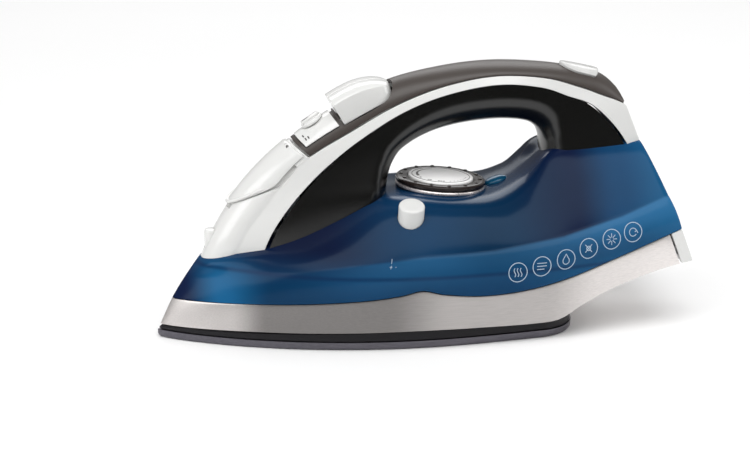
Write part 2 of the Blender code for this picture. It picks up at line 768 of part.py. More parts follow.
def make_tank(blue, clear):
    """The blue shell of the water tank with the dial's seat, and the tub that closes it below."""
    rows = BODY_ROWS
    tank = shell("tank_shell", blue, OUTSIDE, BODY_SHARES, rows,
                 lambda a, b: 0.0, lambda a, b: -WALL)
    seat = turned("dial_seat", blue, DIAL_CENTRE - DIAL_AXIS * 5.5, DIAL_AXIS, [
        (DIAL_RADIUS + 3.5, 0), (DIAL_RADIUS + 1.2, 4.9), (DIAL_RADIUS + 0.6, 5.5)], DIAL_SIDES)
    boolean(tank, seat, "UNION")
    boolean(tank, turned("dial_recess", blue, DIAL_CENTRE, DIAL_AXIS, [
        (DIAL_RADIUS + 0.5, 0), (DIAL_RADIUS + 0.5, 12)], DIAL_SIDES))
    boolean(tank, rod("spindle_drill_tank", blue, *spindle_line(65, 90), SPINDLE_RADIUS + 0.7))
    boolean(tank, rod("valve_drill_tank", blue, (VALVE_ROD_X, 0, 50), (VALVE_ROD_X, 0, 90), 2.6))
    floor = TUB_FLOOR_Z
    tub = [
        plan_outline(0, floor, 36, BULKHEAD_X - 8, 49),
        plan_outline(0, TUB_RIM_Z, 40, BULKHEAD_X - 2, 52),
        plan_outline(0, TUB_RIM_Z, 43, BULKHEAD_X - 4, 50),
        plan_outline(0, floor + 2, 39.5, BULKHEAD_X - 10, 47),
    ]
    made = stacked("tank_tub", clear, tub)
    boolean(made, rod("spindle_drill_tub", blue, *spindle_line(20, 34), SPINDLE_RADIUS + 0.9))
    boolean(made, rod("valve_drill_tub", blue, (VALVE_ROD_X, 0, 20), (VALVE_ROD_X, 0, 40), 4.4))
    turned("valve_seat", clear, (VALVE_ROD_X, 0, floor - 5.0), (0, 0, 1), [
        (VALVE_ROD_RADIUS + 0.35, 0), (4.0, 0), (4.0, 8.5), (VALVE_ROD_RADIUS + 0.35, 8.5),
        (VALVE_ROD_RADIUS + 0.35, 0)], 14)
    wall = []
    for v in (1.62, 2, 2.3, 2.6, 3, 3.3, 3.65, 4):
        u = solve(lambda a: OUTSIDE.lifted(a, v, -WALL - 0.4).x, BULKHEAD_X, 0.3, 1.0)
        wall.append(OUTSIDE.lifted(u, v, -WALL - 0.4))
    wall += [Vector((p.x, -p.y, p.z)) for p in reversed(wall[:-1])]
    stacked("tank_bulkhead", clear, [
        [Vector((BULKHEAD_X, p.y, min(p.z, SEAT_FLOOR))) for p in wall], [Vector((BULKHEAD_X + 1.8, p.y, min(p.z - 0.1, SEAT_FLOOR))) for p in wall]])
    boolean(tank, block("cord_passage", blue, (248, 0, 101), (20, 15, 14)))
    return tank


# ---------------------------------------------------------------- handle


def body_mass(name, material, height):
    """The body's outside as one solid, grown by height, to trim the handle where it lands on the tank."""
    rows = [0, 0.5, *BODY_ROWS]
    stations = BODY_SHARES
    points = []
    for u in stations:
        ring = [OUTSIDE.lifted(u, v, height) for v in rows]
        points += [Vector((ring[0].x, 0, ring[0].z - 2)), *ring]
    columns = len(rows) + 1
    faces = []
    for i in range(len(stations) - 1):
        for j in range(columns - 1):
            faces.append([i * columns + j, (i + 1) * columns + j, (i + 1) * columns + j + 1, i * columns + j + 1])
    faces.append([(len(stations) - 1) * columns + j for j in range(columns)])
    return solid_from(name, points, faces, material, mirrored=True)


def rear_slab(name, material, near, far):
    """A slab square to the rear face, from near to far behind it (negative is inside the iron)."""
    out = Vector((math.cos(REAR_LEAN), 0, math.sin(REAR_LEAN)))
    up = Vector((-math.sin(REAR_LEAN), 0, math.cos(REAR_LEAN)))
    foot = Vector((LENGTH, 0, REAR_FOOT_Z))
    centre = foot + up * 50 + out * (near + far) / 2
    return block(name, material, centre, (far - near, 160, 190), axis_x=out, up=up)


def make_handle(white, black, dark):
    """White frame with its side bands, black inner shell, and the dark cover of the grip."""
    front = station_at(COVER_FRONT_X)
    rear = COVER_REAR_KEY
    edge = 0.97
    before = spread(0, front - 0.02, 8)
    under = spread(front, rear, 16)
    after = [rear + 0.05, 12.5, 13, LAST_KEY]
    rows = [0, 0.25, 0.5, 0.75, edge, 1, 1.5, 1.965]

    def frame_outside(t, p):
        return -(GRIP_COVER_THICK + GAP) if front <= t <= rear and p <= edge else 0.0

    def frame_inside(t, p):
        return -FRAME_DEPTH if p < 1 else -WALL - 0.6 if p < 1.9 else -JOINT_LIP

    frame = shell("handle_frame", white, HANDLE, before + under + after, rows,
                  frame_outside, frame_inside)
    inner = shell("handle_shell", black, HANDLE, spread(0, LAST_KEY, 21),
                  [2.035, 2.5, 3, 3.3, 3.65, 4], lambda a, b: 0.0,
                  lambda a, b: -JOINT_LIP if b < 2.1 else -WALL)
    cover_rows = [0, 0.25, 0.5, 0.75, edge - 0.02]
    cover = shell("grip_cover", dark, HANDLE, [front + 0.04, *under[1:-1], rear - 0.15], cover_rows,
                  lambda a, b: 0.0, lambda a, b: -GRIP_COVER_THICK)
    for target in (frame, inner, cover):
        boolean(target, rear_slab("behind_" + target.name, dark, 0.0, 80.0))
    for target in (frame, inner):
        boolean(target, body_mass("tank_under_" + target.name, dark, GAP + 0.15))
    return frame, inner, cover


def patch(name, material, stations, half_width, top, bottom, steps=4, inner_edge=None):
    """A raised or sunk piece on top of the handle, between two heights above its surface.

    With inner_edge it covers only the right side, from that distance out, and without it both sides.
    """
    shares = spread(0, 1, steps)
    layers = []
    for height in (top, bottom):
        for t in stations:
            near = inner_edge or 0.0
            for share in shares:
                y = near + (half_width(t) - near) * share
                row = row_at(t, y)
                layers.append(HANDLE.lifted(t, row, height(t, share)))
    rows, columns, layer = len(stations), len(shares), len(stations) * len(shares)
    faces = []
    for i in range(rows - 1):
        for j in range(columns - 1):
            quad = [i * columns + j, (i + 1) * columns + j, (i + 1) * columns + j + 1, i * columns + j + 1]
            faces += [quad, [q + layer for q in reversed(quad)]]
    edges = [[i * columns + columns - 1 for i in range(rows)], list(range(columns)),
             [(rows - 1) * columns + j for j in range(columns)]]
    if inner_edge is not None:
        edges.append([i * columns for i in range(rows)])
    for edge in edges:
        faces += [[a, b, b + layer, a + layer] for a, b in zip(edge, edge[1:])]
    return solid_from(name, layers, faces, material, mirrored=inner_edge is None)


def rounded_outline(start, end, half, nose_round, tail_round):
    """Half width against station for an outline with round ends."""

    def at(t):
        front = min(1.0, max(0.0, (t - start) / nose_round)) if nose_round else 1.0
        back = min(1.0, max(0.0, (end - t) / tail_round)) if tail_round else 1.0
        return max(0.6, half * math.sqrt(1 - (1 - front) ** 2) * math.sqrt(1 - (1 - back) ** 2))

    return at


def surface_frame(x):
    """Point on the middle of the handle's top at x, and the outward normal there."""
    t = station_at(x)
    point = handle_surface(t, 0)
    return point, (HANDLE.lifted(t, 0, 1.0) - point).normalized()


def make_filler(white, clear, steel, frame, tank):
    """Door over the filler, its pin, and the funnel that leads down to the tank."""
    start, end = station_at(DOOR_FRONT_X), station_at(DOOR_REAR_X)
    outline = rounded_outline(start, end, 15.0, 1.1, 0)
    point, normal = surface_frame(DOOR_PIN_X)
    hinge = point - normal * DOOR_PIN_DEPTH
    stations = [*spread(start, station_at(DOOR_PIN_X - 0.8), 8), *[station_at(DOOR_REAR_X - d) for d in (1.4, 0.8, 0.3)],
                end]
    lift = 1.1

    def door_top(t, s):
        """The door's outside, rounded about its pin at the rear so that it turns inside its seat."""
        behind = (handle_surface(t, 0) - point).length if TOP_X(t) > DOOR_PIN_X else 0.0
        heel = math.sqrt(max(0.0, (DOOR_HEEL_RADIUS - 0.05) ** 2 - behind**2)) - DOOR_PIN_DEPTH
        return min(lift * (1 - 0.6 * s**6) + 0.2, heel)

    door = patch("fill_door", white, stations, outline, door_top, lambda t, s: lift + 0.2 - DOOR_THICK - 0.1)
    across = Vector((0, 1, 0))
    pin = rod("fill_door_pin", steel, hinge - across * 8, hinge + across * 8, DOOR_PIN_RADIUS, 12)
    boolean(door, rod("hinge_barrel", white, hinge - across * 5, hinge + across * 5, 1.6, 16), "UNION")
    boolean(door, rod("pin_bore_door", white, hinge - across * 8.5, hinge + across * 8.5, DOOR_PIN_RADIUS + GAP, 12))
    seat = patch("door_seat", white, [start - 0.03, *stations[1:-1], station_at(DOOR_REAR_X + 0.4)],
                 lambda t: outline(t) + 0.45, lambda t, s: 6.0, lambda t, s: lift + 0.2 - DOOR_THICK - 0.7)
    boolean(frame, seat)
    boolean(frame, patch("hinge_relief", white, [station_at(DOOR_REAR_X - d) for d in (6.0, 3.0, 1.0, -0.4)],
                         lambda t: outline(t) + 0.45, lambda t, s: 0.0, lambda t, s: -3.2))
    mouth, out = surface_frame(FUNNEL_X)
    lip = mouth - out * 4.2
    funnel = turned("fill_funnel", clear, lip, -out, [
        (FUNNEL_RADIUS, 0), (FUNNEL_RADIUS, FUNNEL_DEPTH - 3), (5.0, FUNNEL_DEPTH), (5.0, FUNNEL_DEPTH + 9),
        (3.8, FUNNEL_DEPTH + 9), (3.8, FUNNEL_DEPTH - 0.6), (FUNNEL_RADIUS - 1.2, FUNNEL_DEPTH - 4),
        (FUNNEL_RADIUS - 1.2, 0), (FUNNEL_RADIUS, 0)], 20)
    elbow = lip.z - out.z * (FUNNEL_DEPTH + 7.0)
    pipe = Vector((FILL_PIPE_X, 0, 0))
    boolean(funnel, rod("fill_pipe", clear, pipe + Vector((0, 0, 54)), pipe + Vector((0, 0, elbow)),
                        FILL_PIPE_RADIUS, 20), "UNION")
    boolean(funnel, rod("fill_pipe_bore", clear, pipe + Vector((0, 0, 50)), pipe + Vector((0, 0, elbow + 1.0)),
                        FILL_PIPE_RADIUS - 1.2, 20))
    boolean(funnel, rod("elbow_bore", clear, lip - out * (FUNNEL_DEPTH + 1), lip - out * (FUNNEL_DEPTH + 8.6), 3.6, 20))
    boolean(tank, rod("fill_drill", clear, pipe + Vector((0, 0, 50)), pipe + Vector((0, 0, 72)),
                      FILL_PIPE_RADIUS + GAP, 20))
    boolean(frame, rod("funnel_bore", white, lip + out * 8, lip - out * 24, FUNNEL_RADIUS + GAP, 20))
    for piece in (door, pin):
        pivot(piece, hinge)
    return funnel


def crown(name, material, stations, half_width, top, bottom, inner_edge=0.0, draft=0.0):
    """A straight-sided block on the handle's top line, from inner_edge out to half_width on the right side.

    top and bottom are heights above the top line, and an inner_edge below zero reaches past the middle.
    """
    shares = spread(0, 1, 5)
    points = []
    for height, inwards in ((top, draft), (bottom, 0.0)):
        for t in stations:
            middle, normal = surface_frame(TOP_X(t))
            for share in shares:
                y = inner_edge + (half_width(t) - inner_edge) * share
                points.append(middle + normal * height(t, share) + Vector((0, -y * (1 - inwards * share), 0)))
    rows, columns, layer = len(stations), len(shares), len(stations) * len(shares)
    faces = []
    for i in range(rows - 1):
        for j in range(columns - 1):
            quad = [i * columns + j, (i + 1) * columns + j, (i + 1) * columns + j + 1, i * columns + j + 1]
            faces += [quad, [q + layer for q in reversed(quad)]]
    for edge in ([i * columns for i in range(rows)], [i * columns + columns - 1 for i in range(rows)],
                 list(range(columns)), [(rows - 1) * columns + j for j in range(columns)]):
        faces += [[a, b, b + layer, a + layer] for a, b in zip(edge, edge[1:])]
    return solid_from(name, points, faces, material)


def button_height(x):
    return rail((BUTTON_FRONT_X, 7.8), (108, 7.8), (116, 7.0), (123, 4.9), (128, 2.4), (BUTTON_REAR_X, 0.4))(x)


def button_half(x):
    return rail((BUTTON_FRONT_X, 13.4), (110, 13.7), (120, 13.6), (126, 12.6), (129.5, 9.6), (BUTTON_REAR_X, 4.4))(x)


def make_buttons(white, grey, steel, frame, cover):
    """Spray and steam-shot buttons side by side, each on its own pump inside the handle."""
    knots = [BUTTON_FRONT_X, 106, 111, 116, 121, 125, 128, 130, BUTTON_REAR_X]
    stations = [station_at(x) for x in knots]
    point, normal = surface_frame(PUMP_X)
    for name, side in (("spray", 1), ("shot", -1)):
        button = crown(f"{name}_button", white, stations, lambda t: button_half(TOP_X(t)),
                       lambda t, s: button_height(TOP_X(t)) * (1 - 0.18 * s**4) - 1.2 * s**4,
                       lambda t, s: -BUTTON_SKIRT_DEPTH - 2.9 * s**3, inner_edge=0.3, draft=0.06)
        axis = Vector((point.x, -PUMP_Y, point.z))
        head = axis - normal * (BUTTON_SKIRT_DEPTH + 1.0)
        bottom = axis - normal * (PUMP_BARREL_TOP + 9.0)
        plunger = rod(f"{name}_plunger", grey, head, bottom, 1.9, 12)
        top = axis - normal * PUMP_BARREL_TOP
        end = top - normal * PUMP_BARREL_LENGTH
        barrel = turned(f"{name}_pump_barrel", grey, top, end - top, [
            (2.5, 0), (4.4, 0), (4.4, PUMP_BARREL_LENGTH), (2.0, PUMP_BARREL_LENGTH),
            (2.0, PUMP_BARREL_LENGTH - 1.5), (2.5, PUMP_BARREL_LENGTH - 1.5), (2.5, 0)], 16)
        coil = spring(f"{name}_spring", steel, axis - normal * (PUMP_BARREL_TOP - GAP), normal, 2.8,
                      PUMP_BARREL_TOP - BUTTON_SKIRT_DEPTH - 1.9, 4, 0.4)
        for piece in (button, plunger, barrel, coil):
            if side > 0:
                mirror_across(piece)
        for piece in (button, plunger):
            pivot(piece, (axis.x, -axis.y if side > 0 else axis.y, axis.z))
    wide = [station_at(x) for x in [BUTTON_FRONT_X - 0.5, *knots[1:-1], BUTTON_REAR_X + 1.9]]

    def pocket_half(t):
        x = TOP_X(t)
        return max(button_half(min(x, BUTTON_REAR_X)), button_half(min(x - 1.6, BUTTON_REAR_X))) + 0.7

    for target in (frame, cover):
        pocket = crown("button_pocket_" + target.name, white, wide, pocket_half,
                       lambda t, s: 14.0, lambda t, s: -8.6 - 2.9 * s**3,
                       inner_edge=-0.01)
        twin = crown("button_pocket_left_" + target.name, white, wide, pocket_half,
                     lambda t, s: 14.0, lambda t, s: -8.6 - 2.9 * s**3, inner_edge=-0.01)
        mirror_across(twin)
        boolean(target, pocket)
        boolean(target, twin)
    return point, normal


def mirror_across(piece):
    """Turns a right-hand piece into its left-hand twin."""
    piece.data.transform(Matrix.Scale(-1, 4, (0, 1, 0)))
    piece.data.flip_normals()


def make_steam_control(white, grey, cover, frame):
    """Scale plate, turning lever, and the rod that lifts the needle of the steam valve."""
    start, end = station_at(79.0), station_at(98.0)
    half = 13.4
    stations = spread(start, end, 7)
    plate = patch("steam_control_plate", white, stations, lambda t: half, lambda t, s: 0.5, lambda t, s: -0.8)
    wide = [start - 0.03, *stations[1:-1], end + 0.06]
    seat = patch("plate_seat", white, wide, lambda t: half + 0.4,
                 lambda t, s: 5.0, lambda t, s: -0.8 - GAP)
    boolean(cover, seat)
    point, normal = surface_frame(LEVER_X)
    foot = point + normal * (0.5 + GAP)
    along = normal.cross(Vector((0, 1, 0)))
    lever = turned("steam_control_lever", white, foot, normal, [
        (LEVER_RADIUS, 0), (LEVER_RADIUS, 1.2), (LEVER_RADIUS - 0.6, 1.7)], 24)
    boolean(lever, block("lever_fin", white, foot + normal * 2.0, (11.0, 4.2, 2.6), axis_x=along, up=normal), "UNION")
    boolean(lever, rod("lever_stem", white, foot + normal * 0.5, foot - normal * 8.0, 2.2), "UNION")
    for target in (plate, cover, frame):
        boolean(target, rod("stem_bore_" + target.name, white, foot + normal * 6, foot - normal * 20, 2.2 + GAP))
    rod_top = foot - normal * 8.0
    rod_piece = rod("valve_rod", grey, (VALVE_ROD_X, 0, 20.5), (VALVE_ROD_X, 0, rod_top.z - 6.0), VALVE_ROD_RADIUS, 12)
    pivot(lever, foot)
    pivot(rod_piece, (VALVE_ROD_X, 0, 20.5))


def make_nozzle_and_hoses(white, clear, frame, point, normal):
    """Spray nozzle at the nose, its hose from the spray pump, and the hose from the shot pump to the tank."""
    base = Vector((NOZZLE_X, 0, NOZZLE_Z))
    nozzle = turned("spray_nozzle", white, base, (0, 0, 1), [
        (2.8, 0), (3.6, 2.5), (3.8, 11.0), (3.2, 12.5)], 20)
    jet = base + Vector((0, 0, 8.0))
    boolean(nozzle, rod("nozzle_stem", white, jet, jet + Vector((8, 0, 0)), 1.4, 10), "UNION")
    boolean(nozzle, rod("jet_bore", white, jet, jet - Vector((9, 0, 0)), 0.8, 10))
    boolean(frame, rod("stem_bore", white, jet, jet + Vector((12, 0, 0)), 1.4 + GAP, 10))
    boolean(frame, turned("nozzle_seat", white, base - Vector((0, 0, GAP)), (0, 0, 1), [
        (3.1, 0), (3.9, 2.5 + GAP), (4.1, 11 + GAP), (4.1, 12.5 + 2 * GAP)], 20))
    pump_end = Vector((point.x, PUMP_Y, point.z)) - normal * (PUMP_BARREL_TOP + PUMP_BARREL_LENGTH + 1.2)
    tube("spray_tube", clear, through([
        tuple(pump_end), (pump_end.x - 6, PUMP_Y, pump_end.z - 4.5), (96, 9, 88), (74, 9, 70), (56, 6, 61), (44, 1, 56.4),
        (39.6, 0, 56.1)], 16), 1.5, 6)
    shot_end = Vector((pump_end.x, -PUMP_Y, pump_end.z))
    tube("shot_tube", clear, through([
        tuple(shot_end), (shot_end.x - 5, -PUMP_Y, shot_end.z - 7), (114, -6, 88), (112, -5, 79)], 8), 1.5, 6)


def make_lenses(lens, glass, white, cover, tank):
    """Pilot lens behind the dial with its lamp, and the auto-off lens at the back of the grip."""
    x = PILOT_X
    u = solve(lambda a: body_surface(a, 4).x, x, 0.3, 1.0)
    point = body_surface(u, 4)
    normal = (OUTSIDE.lifted(u, 4, 1.0) - point).normalized()
    turned("pilot_lens", lens, point - normal * 2.4, normal, [(7.0, 0), (7.0, 2.6), (6.2, 3.3), (3.5, 3.9)], 24, 0.5)
    boolean(tank, turned("pilot_seat", lens, point - normal * 4.0, normal, [
        (7.3, 0), (7.3, 9)], 24, 0.52))
    turned("pilot_lamp", glass, point - normal * 15.0, normal, [
        (1.0, 0), (2.3, 0.8), (2.3, 8.5), (1.2, 10.5)], 12)
    start, end = station_at(230.0), station_at(251.5)
    outline = rounded_outline(start, end, 8.2, 0.62, 0.16)
    stations = spread(start, end, 8)
    patch("shutoff_lens", white, stations, outline, lambda t, s: 1.6 * (1 - 0.5 * s**4), lambda t, s: -1.2)
    boolean(cover, patch("shutoff_seat", white, spread(start - 0.02, end + 0.02, 8), lambda t: outline(t) + 0.5,
                         lambda t, s: 5.0, lambda t, s: -1.6))


def make_self_clean(white, grey, steel, tank):
    """Self-clean button on the tank's right shoulder, in its well, with a return spring round its stem."""
    u = solve(lambda a: body_surface(a, 2.8).x, CLEAN_X, 0.3, 1.0)
    v = solve(lambda b: body_surface(u, b).y, CLEAN_Y, 2.0, 4.0)
    point = body_surface(u, v)
    axis = Vector((0, -math.sin(CLEAN_LEAN), math.cos(CLEAN_LEAN)))
    head = -CLEAN_SUNK
    button = turned("self_clean_button", white, point - axis * 26.0, axis, [
        (1.8, 0), (1.8, 26.0 + head), (CLEAN_RADIUS, 26.0 + head), (CLEAN_RADIUS, 25.2 + CLEAN_HEIGHT),
        (CLEAN_RADIUS - 0.8, 26.0 + CLEAN_HEIGHT)], 24)
    boolean(tank, rod("clean_bore", white, point + axis * 12, point - axis * 14, CLEAN_RADIUS + GAP, 24))
    floor = CLEAN_SUNK + CLEAN_TRAVEL + 4.5
    well = turned("self_clean_well", grey, point - axis * (floor + 1.8), axis, [
        (2.2, 0), (CLEAN_RADIUS + 1.8, 0), (CLEAN_RADIUS + 1.8, floor + 5), (CLEAN_RADIUS + 0.5, floor + 5),
        (CLEAN_RADIUS + 0.5, 1.8), (2.2, 1.8), (2.2, 0)], 24)
    boolean(well, body_mass("well_room", grey, -(WALL + GAP)), "INTERSECT")
    spring("self_clean_spring", steel, point - axis * (floor - GAP), axis, 4.2, floor - CLEAN_SUNK - 2 * GAP, 4, 0.4)
    pivot(button, point)


def rear_plate(name, material, right_side):
    """A plate just inside the rear face, from the right half of its outline, listed from the bottom up."""
    out = Vector((math.cos(REAR_LEAN), 0, math.sin(REAR_LEAN)))
    ring = right_side + [(-y, z) for y, z in reversed(right_side) if abs(y) > 0.01]
    rings = [[Vector((rear_x(z), y, z)) + out * depth for y, z in ring]
             for depth in (-REAR_RECESS - REAR_PLATE, -REAR_RECESS)]
    return stacked(name, material, rings)


def make_rear(dark, white, rubber, steel, grey):
    """Rear cover of the body, end cap of the handle with the cord gland, and the cord's clamp and terminals."""
    out = Vector((math.cos(REAR_LEAN), 0, math.sin(REAR_LEAN)))
    body = [OUTSIDE.lifted(1.0, v, -WALL - 0.55) for v in (0.3, 0.66, 1, 1.3, 1.65, 2, 2.3, 2.6, 3, 3.3, 3.65, 4)]
    outline = [(body[0].y + 0.3, REAR_FOOT_Z + 3.4)] + [(p.y, p.z) for p in body[1:-1]] + [(0.0, body[-1].z)]
    cover = rear_plate("rear_cover", dark, outline)
    for place, side in (("left", 1), ("right", -1)):
        spot = Vector((rear_x(68.0), 24.0 * side, 68.0)) - out * REAR_RECESS
        boolean(cover, rod(f"rear_screw_bore_{place}", dark, spot + out * 5, spot - out * 6, 1.8, 12))
        turned(f"rear_screw_{place}", steel, spot - out * 9, out, [
            (1.5, 0), (1.5, 9 + GAP), (3.2, 9 + GAP), (3.0, 10.5), (1.8, 11.1)], 14)

    def inner(p):
        depth = FRAME_DEPTH + 0.5 if p < 1 else WALL + 1.1
        t = solve(lambda a: HANDLE.lifted(a, p, -depth).x - rear_x(HANDLE.lifted(a, p, -depth).z), -REAR_RECESS,
                  10.0, float(LAST_KEY))
        return HANDLE.lifted(t, p, -depth)

    floor = max(BODY[4].height(rear_x(105)) + GAP + 1.5, outline[-1][1] + GAP)
    side = [inner(p) for p in (1.8, 1.55, 1.3, 1.1, 0.7, 0.5, 0.25, 0)]
    above = [(p.y, p.z) for p in side[:-1] if p.z > floor] + [(0.0, side[-1].z)]
    cap = rear_plate("handle_end_cap", white, [(above[0][0] - 0.1, floor)] + above)
    centre = Vector((rear_x(GLAND_Z), 0, GLAND_Z)) - out * REAR_RECESS
    boolean(cap, rod("gland_bore", dark, centre + out * 9, centre - out * 9, GLAND_RADIUS + GAP, 24))
    turned("cord_gland", rubber, centre - out * (REAR_PLATE + 4), out, [
        (CORD_RADIUS, 0), (GLAND_RADIUS, 0), (GLAND_RADIUS, REAR_PLATE + 4.3), (GLAND_RADIUS + 0.8, REAR_PLATE + 4.3),
        (GLAND_RADIUS + 0.4, REAR_PLATE + 4.9), (CORD_RADIUS, REAR_PLATE + 4.9), (CORD_RADIUS, 0)], 24)
    block("cord_clamp", grey, (247, 0, 113), (11, 15, 3.6))
    block("terminal_block", grey, (244, 0, 70), (16, 22, 9))


def make_inside(steel, copper, chamber_top, terminal):
    """Thermostat, thermal fuse and the two leads from the terminal block to the heating element."""
    low = spindle_line(chamber_top + GAP, 40)[0]
    body = block("thermostat", steel, (low.x, 0, chamber_top + GAP + 3.0), (24, 15, 6.0))
    boolean(body, rod("thermostat_stem", steel, *spindle_line(chamber_top + 3.0, 33.4), SPINDLE_RADIUS), "UNION")
    rod("thermal_fuse", steel, (184, -7, chamber_top + GAP + 2.4), (184, 7, chamber_top + GAP + 2.4), 2.2, 12)
    for place, side in (("live", 1), ("neutral", -1)):
        y = terminal.y * side
        tube(f"lead_{place}", copper, through([
            (234.3, -6 * side, 69), (229, y * 0.5, 64), (222, y * 0.8, 54), (terminal.x + 4, y, 42),
            (terminal.x, y, TERMINAL_TOP + GAP + 0.2)], 14), 1.1, 6)


# ---------------------------------------------------------------- assembly


def main():
    for old in list(bpy.data.objects):
        bpy.data.objects.remove(old)
    silver = paint("brushed_silver", (0.62, 0.62, 0.61), 0.32, 0.9)
    sole_metal = paint("sole_coating", (0.16, 0.16, 0.18), 0.35, 0.6)
    cast = paint("cast_aluminium", (0.5, 0.5, 0.5), 0.6, 0.8)
    steel = paint("steel", (0.6, 0.6, 0.6), 0.3, 1.0)
    copper = paint("lead_insulation", (0.55, 0.2, 0.1), 0.5)
    black = paint("gloss_black", (0.012, 0.011, 0.011), 0.12)
    soot = paint("heat_black", (0.02, 0.02, 0.022), 0.5)
    dark = paint("grip_grey", (0.06, 0.052, 0.05), 0.42)
    white = paint("white_plastic", (0.83, 0.83, 0.81), 0.2)
    clear = paint("milky_plastic", (0.7, 0.74, 0.78), 0.3)
    blue = paint("tank_blue", (0.01, 0.06, 0.17), 0.08)
    chrome = paint("chrome", (0.75, 0.74, 0.73), 0.1, 1.0)
    pale = paint("dial_print", (0.72, 0.72, 0.7), 0.25, 0.2)
    rubber = paint("rubber", (0.03, 0.03, 0.03), 0.7)
    grey = paint("pump_grey", (0.35, 0.36, 0.38), 0.45)
    lens = paint("lens_blue", (0.0, 0.13, 0.2), 0.05)
    glass = paint("lamp_glass", (0.8, 0.5, 0.35), 0.05)

    casting, chamber_top, terminal = make_sole(sole_metal, cast, steel, rubber)
    make_shield(soot, steel, casting, terminal)
    make_skirt(silver, white)
    tank = make_tank(blue, clear)
    make_dial(chrome, dark, pale, steel, clear)
    frame, _, cover = make_handle(white, black, dark)
    make_filler(white, clear, steel, frame, tank)
    point, normal = make_buttons(white, grey, steel, frame, cover)
    make_steam_control(white, grey, cover, frame)
    make_nozzle_and_hoses(white, clear, frame, point, normal)
    make_lenses(lens, glass, white, cover, tank)
    make_self_clean(white, grey, steel, tank)
    make_rear(soot, white, rubber, steel, grey)
    make_inside(steel, copper, chamber_top, terminal)


main()
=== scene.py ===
"""The visible pieces and finishes of a household steam iron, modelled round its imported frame.

A design point is (x, y, z) in millimetres, with x from the tip of the nose towards the heel, y across, and z up
from the face that irons. Finished meshes are in metres, with the origin under the middle of the iron.
"""

import math

import bmesh
import bpy
from bpy.props import FloatProperty, FloatVectorProperty, IntProperty, PointerProperty
from bpy.types import Operator, Panel, PropertyGroup
from mathutils import Matrix, Vector

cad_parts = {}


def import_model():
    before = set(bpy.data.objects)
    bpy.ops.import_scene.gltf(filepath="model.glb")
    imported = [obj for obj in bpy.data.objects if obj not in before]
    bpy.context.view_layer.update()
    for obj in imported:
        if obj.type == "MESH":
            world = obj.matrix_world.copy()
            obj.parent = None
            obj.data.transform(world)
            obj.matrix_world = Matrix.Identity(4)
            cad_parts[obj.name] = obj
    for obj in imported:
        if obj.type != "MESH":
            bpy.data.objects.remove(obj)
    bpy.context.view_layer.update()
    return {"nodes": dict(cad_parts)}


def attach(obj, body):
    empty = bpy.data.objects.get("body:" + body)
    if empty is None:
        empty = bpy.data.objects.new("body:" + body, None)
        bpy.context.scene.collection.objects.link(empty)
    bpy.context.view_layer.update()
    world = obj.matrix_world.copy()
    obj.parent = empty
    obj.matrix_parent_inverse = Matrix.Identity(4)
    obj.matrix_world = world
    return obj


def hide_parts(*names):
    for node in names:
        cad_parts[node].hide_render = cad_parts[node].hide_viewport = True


bl_info = {
    "name": "Steam iron",
    "version": (1, 0, 0),
    "blender": (4, 5, 0),
    "location": "3D View > Sidebar > Iron",
    "description": "Models the visible pieces and finishes of a steam iron round its frame",
    "category": "Object",
}

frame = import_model()
NODES = frame["nodes"]

MM = 0.001
LENGTH = 298.0
HALF_WIDTH = 60.0
WIDEST_X = 150.0
GAP = 0.3
WALL = 2.2
NOSE_MITRE = 1.6

SOLE_LENGTH = 233.0
SOLE_HALF = 52.0
SOLE_THICK = 4.2
SOLE_CHAMFER = 1.4
HEM_GAP = 0.6
SHIELD_DECK = 28.0

REAR_FOOT_Z = 38.0
REAR_LEAN = math.radians(21.0)
REAR_PLATE = 2.6
REAR_RECESS = 0.8
HEEL_CAP_SHARE = 0.982

DIAL_X = 161.3
DIAL_Z = 78.0
DIAL_TILT = math.radians(4.4)
DIAL_RADIUS = 25.4
DIAL_TRIM_THICK = 2.3
DIAL_RING_THICK = 3.0
DIAL_CAP_RADIUS = 18.4
PILOT_X = DIAL_X + DIAL_RADIUS + 6.8

GRIP_COVER_THICK = 2.4
FRAME_DEPTH = GRIP_COVER_THICK + GAP + WALL
COVER_FRONT_X = 76.0
COVER_REAR_KEY = 12.0

BUTTON_FRONT_X = 101.0
BUTTON_REAR_X = 131.0
LEVER_X = 89.0
DOOR_FRONT_X = 41.5
DOOR_REAR_X = 74.6
DOOR_PIN_X = DOOR_REAR_X - 1.4
DOOR_PIN_DEPTH = 0.6
DOOR_HEEL_RADIUS = 1.9
DOOR_LIFT = 1.3
FUNNEL_X = 59.0
FUNNEL_RADIUS = 8.6
NOZZLE_X = 31.0
NOZZLE_Z = 48.1

CLEAN_X = 136.0
CLEAN_Y = -41.5
CLEAN_LEAN = math.radians(19.0)
CLEAN_RADIUS = 7.2
CLEAN_HEIGHT = 7.4

GLAND_Z = 113.0
GLAND_RADIUS = 6.2
CORD_RADIUS = 3.4

# The camera, in metres, looks at a point this high over the middle of the table.
CAMERA_AZIMUTH = math.radians(-12.0)
CAMERA_ELEVATION = math.radians(15.5)
CAMERA_DISTANCE = 1.5
CAMERA_HEIGHT = 0.070
CAMERA_LENS = 127.7
CAMERA_SHIFT = (-0.058, -0.0459)


# The crease along the tank's shoulder: height over x.
SHOULDER_LINE = ((60, 43), (100, 49.5), (140, 54), (180, 55), (220, 59.5), (255, 67.5))


# ---------------------------------------------------------------- curves of the body and the handle


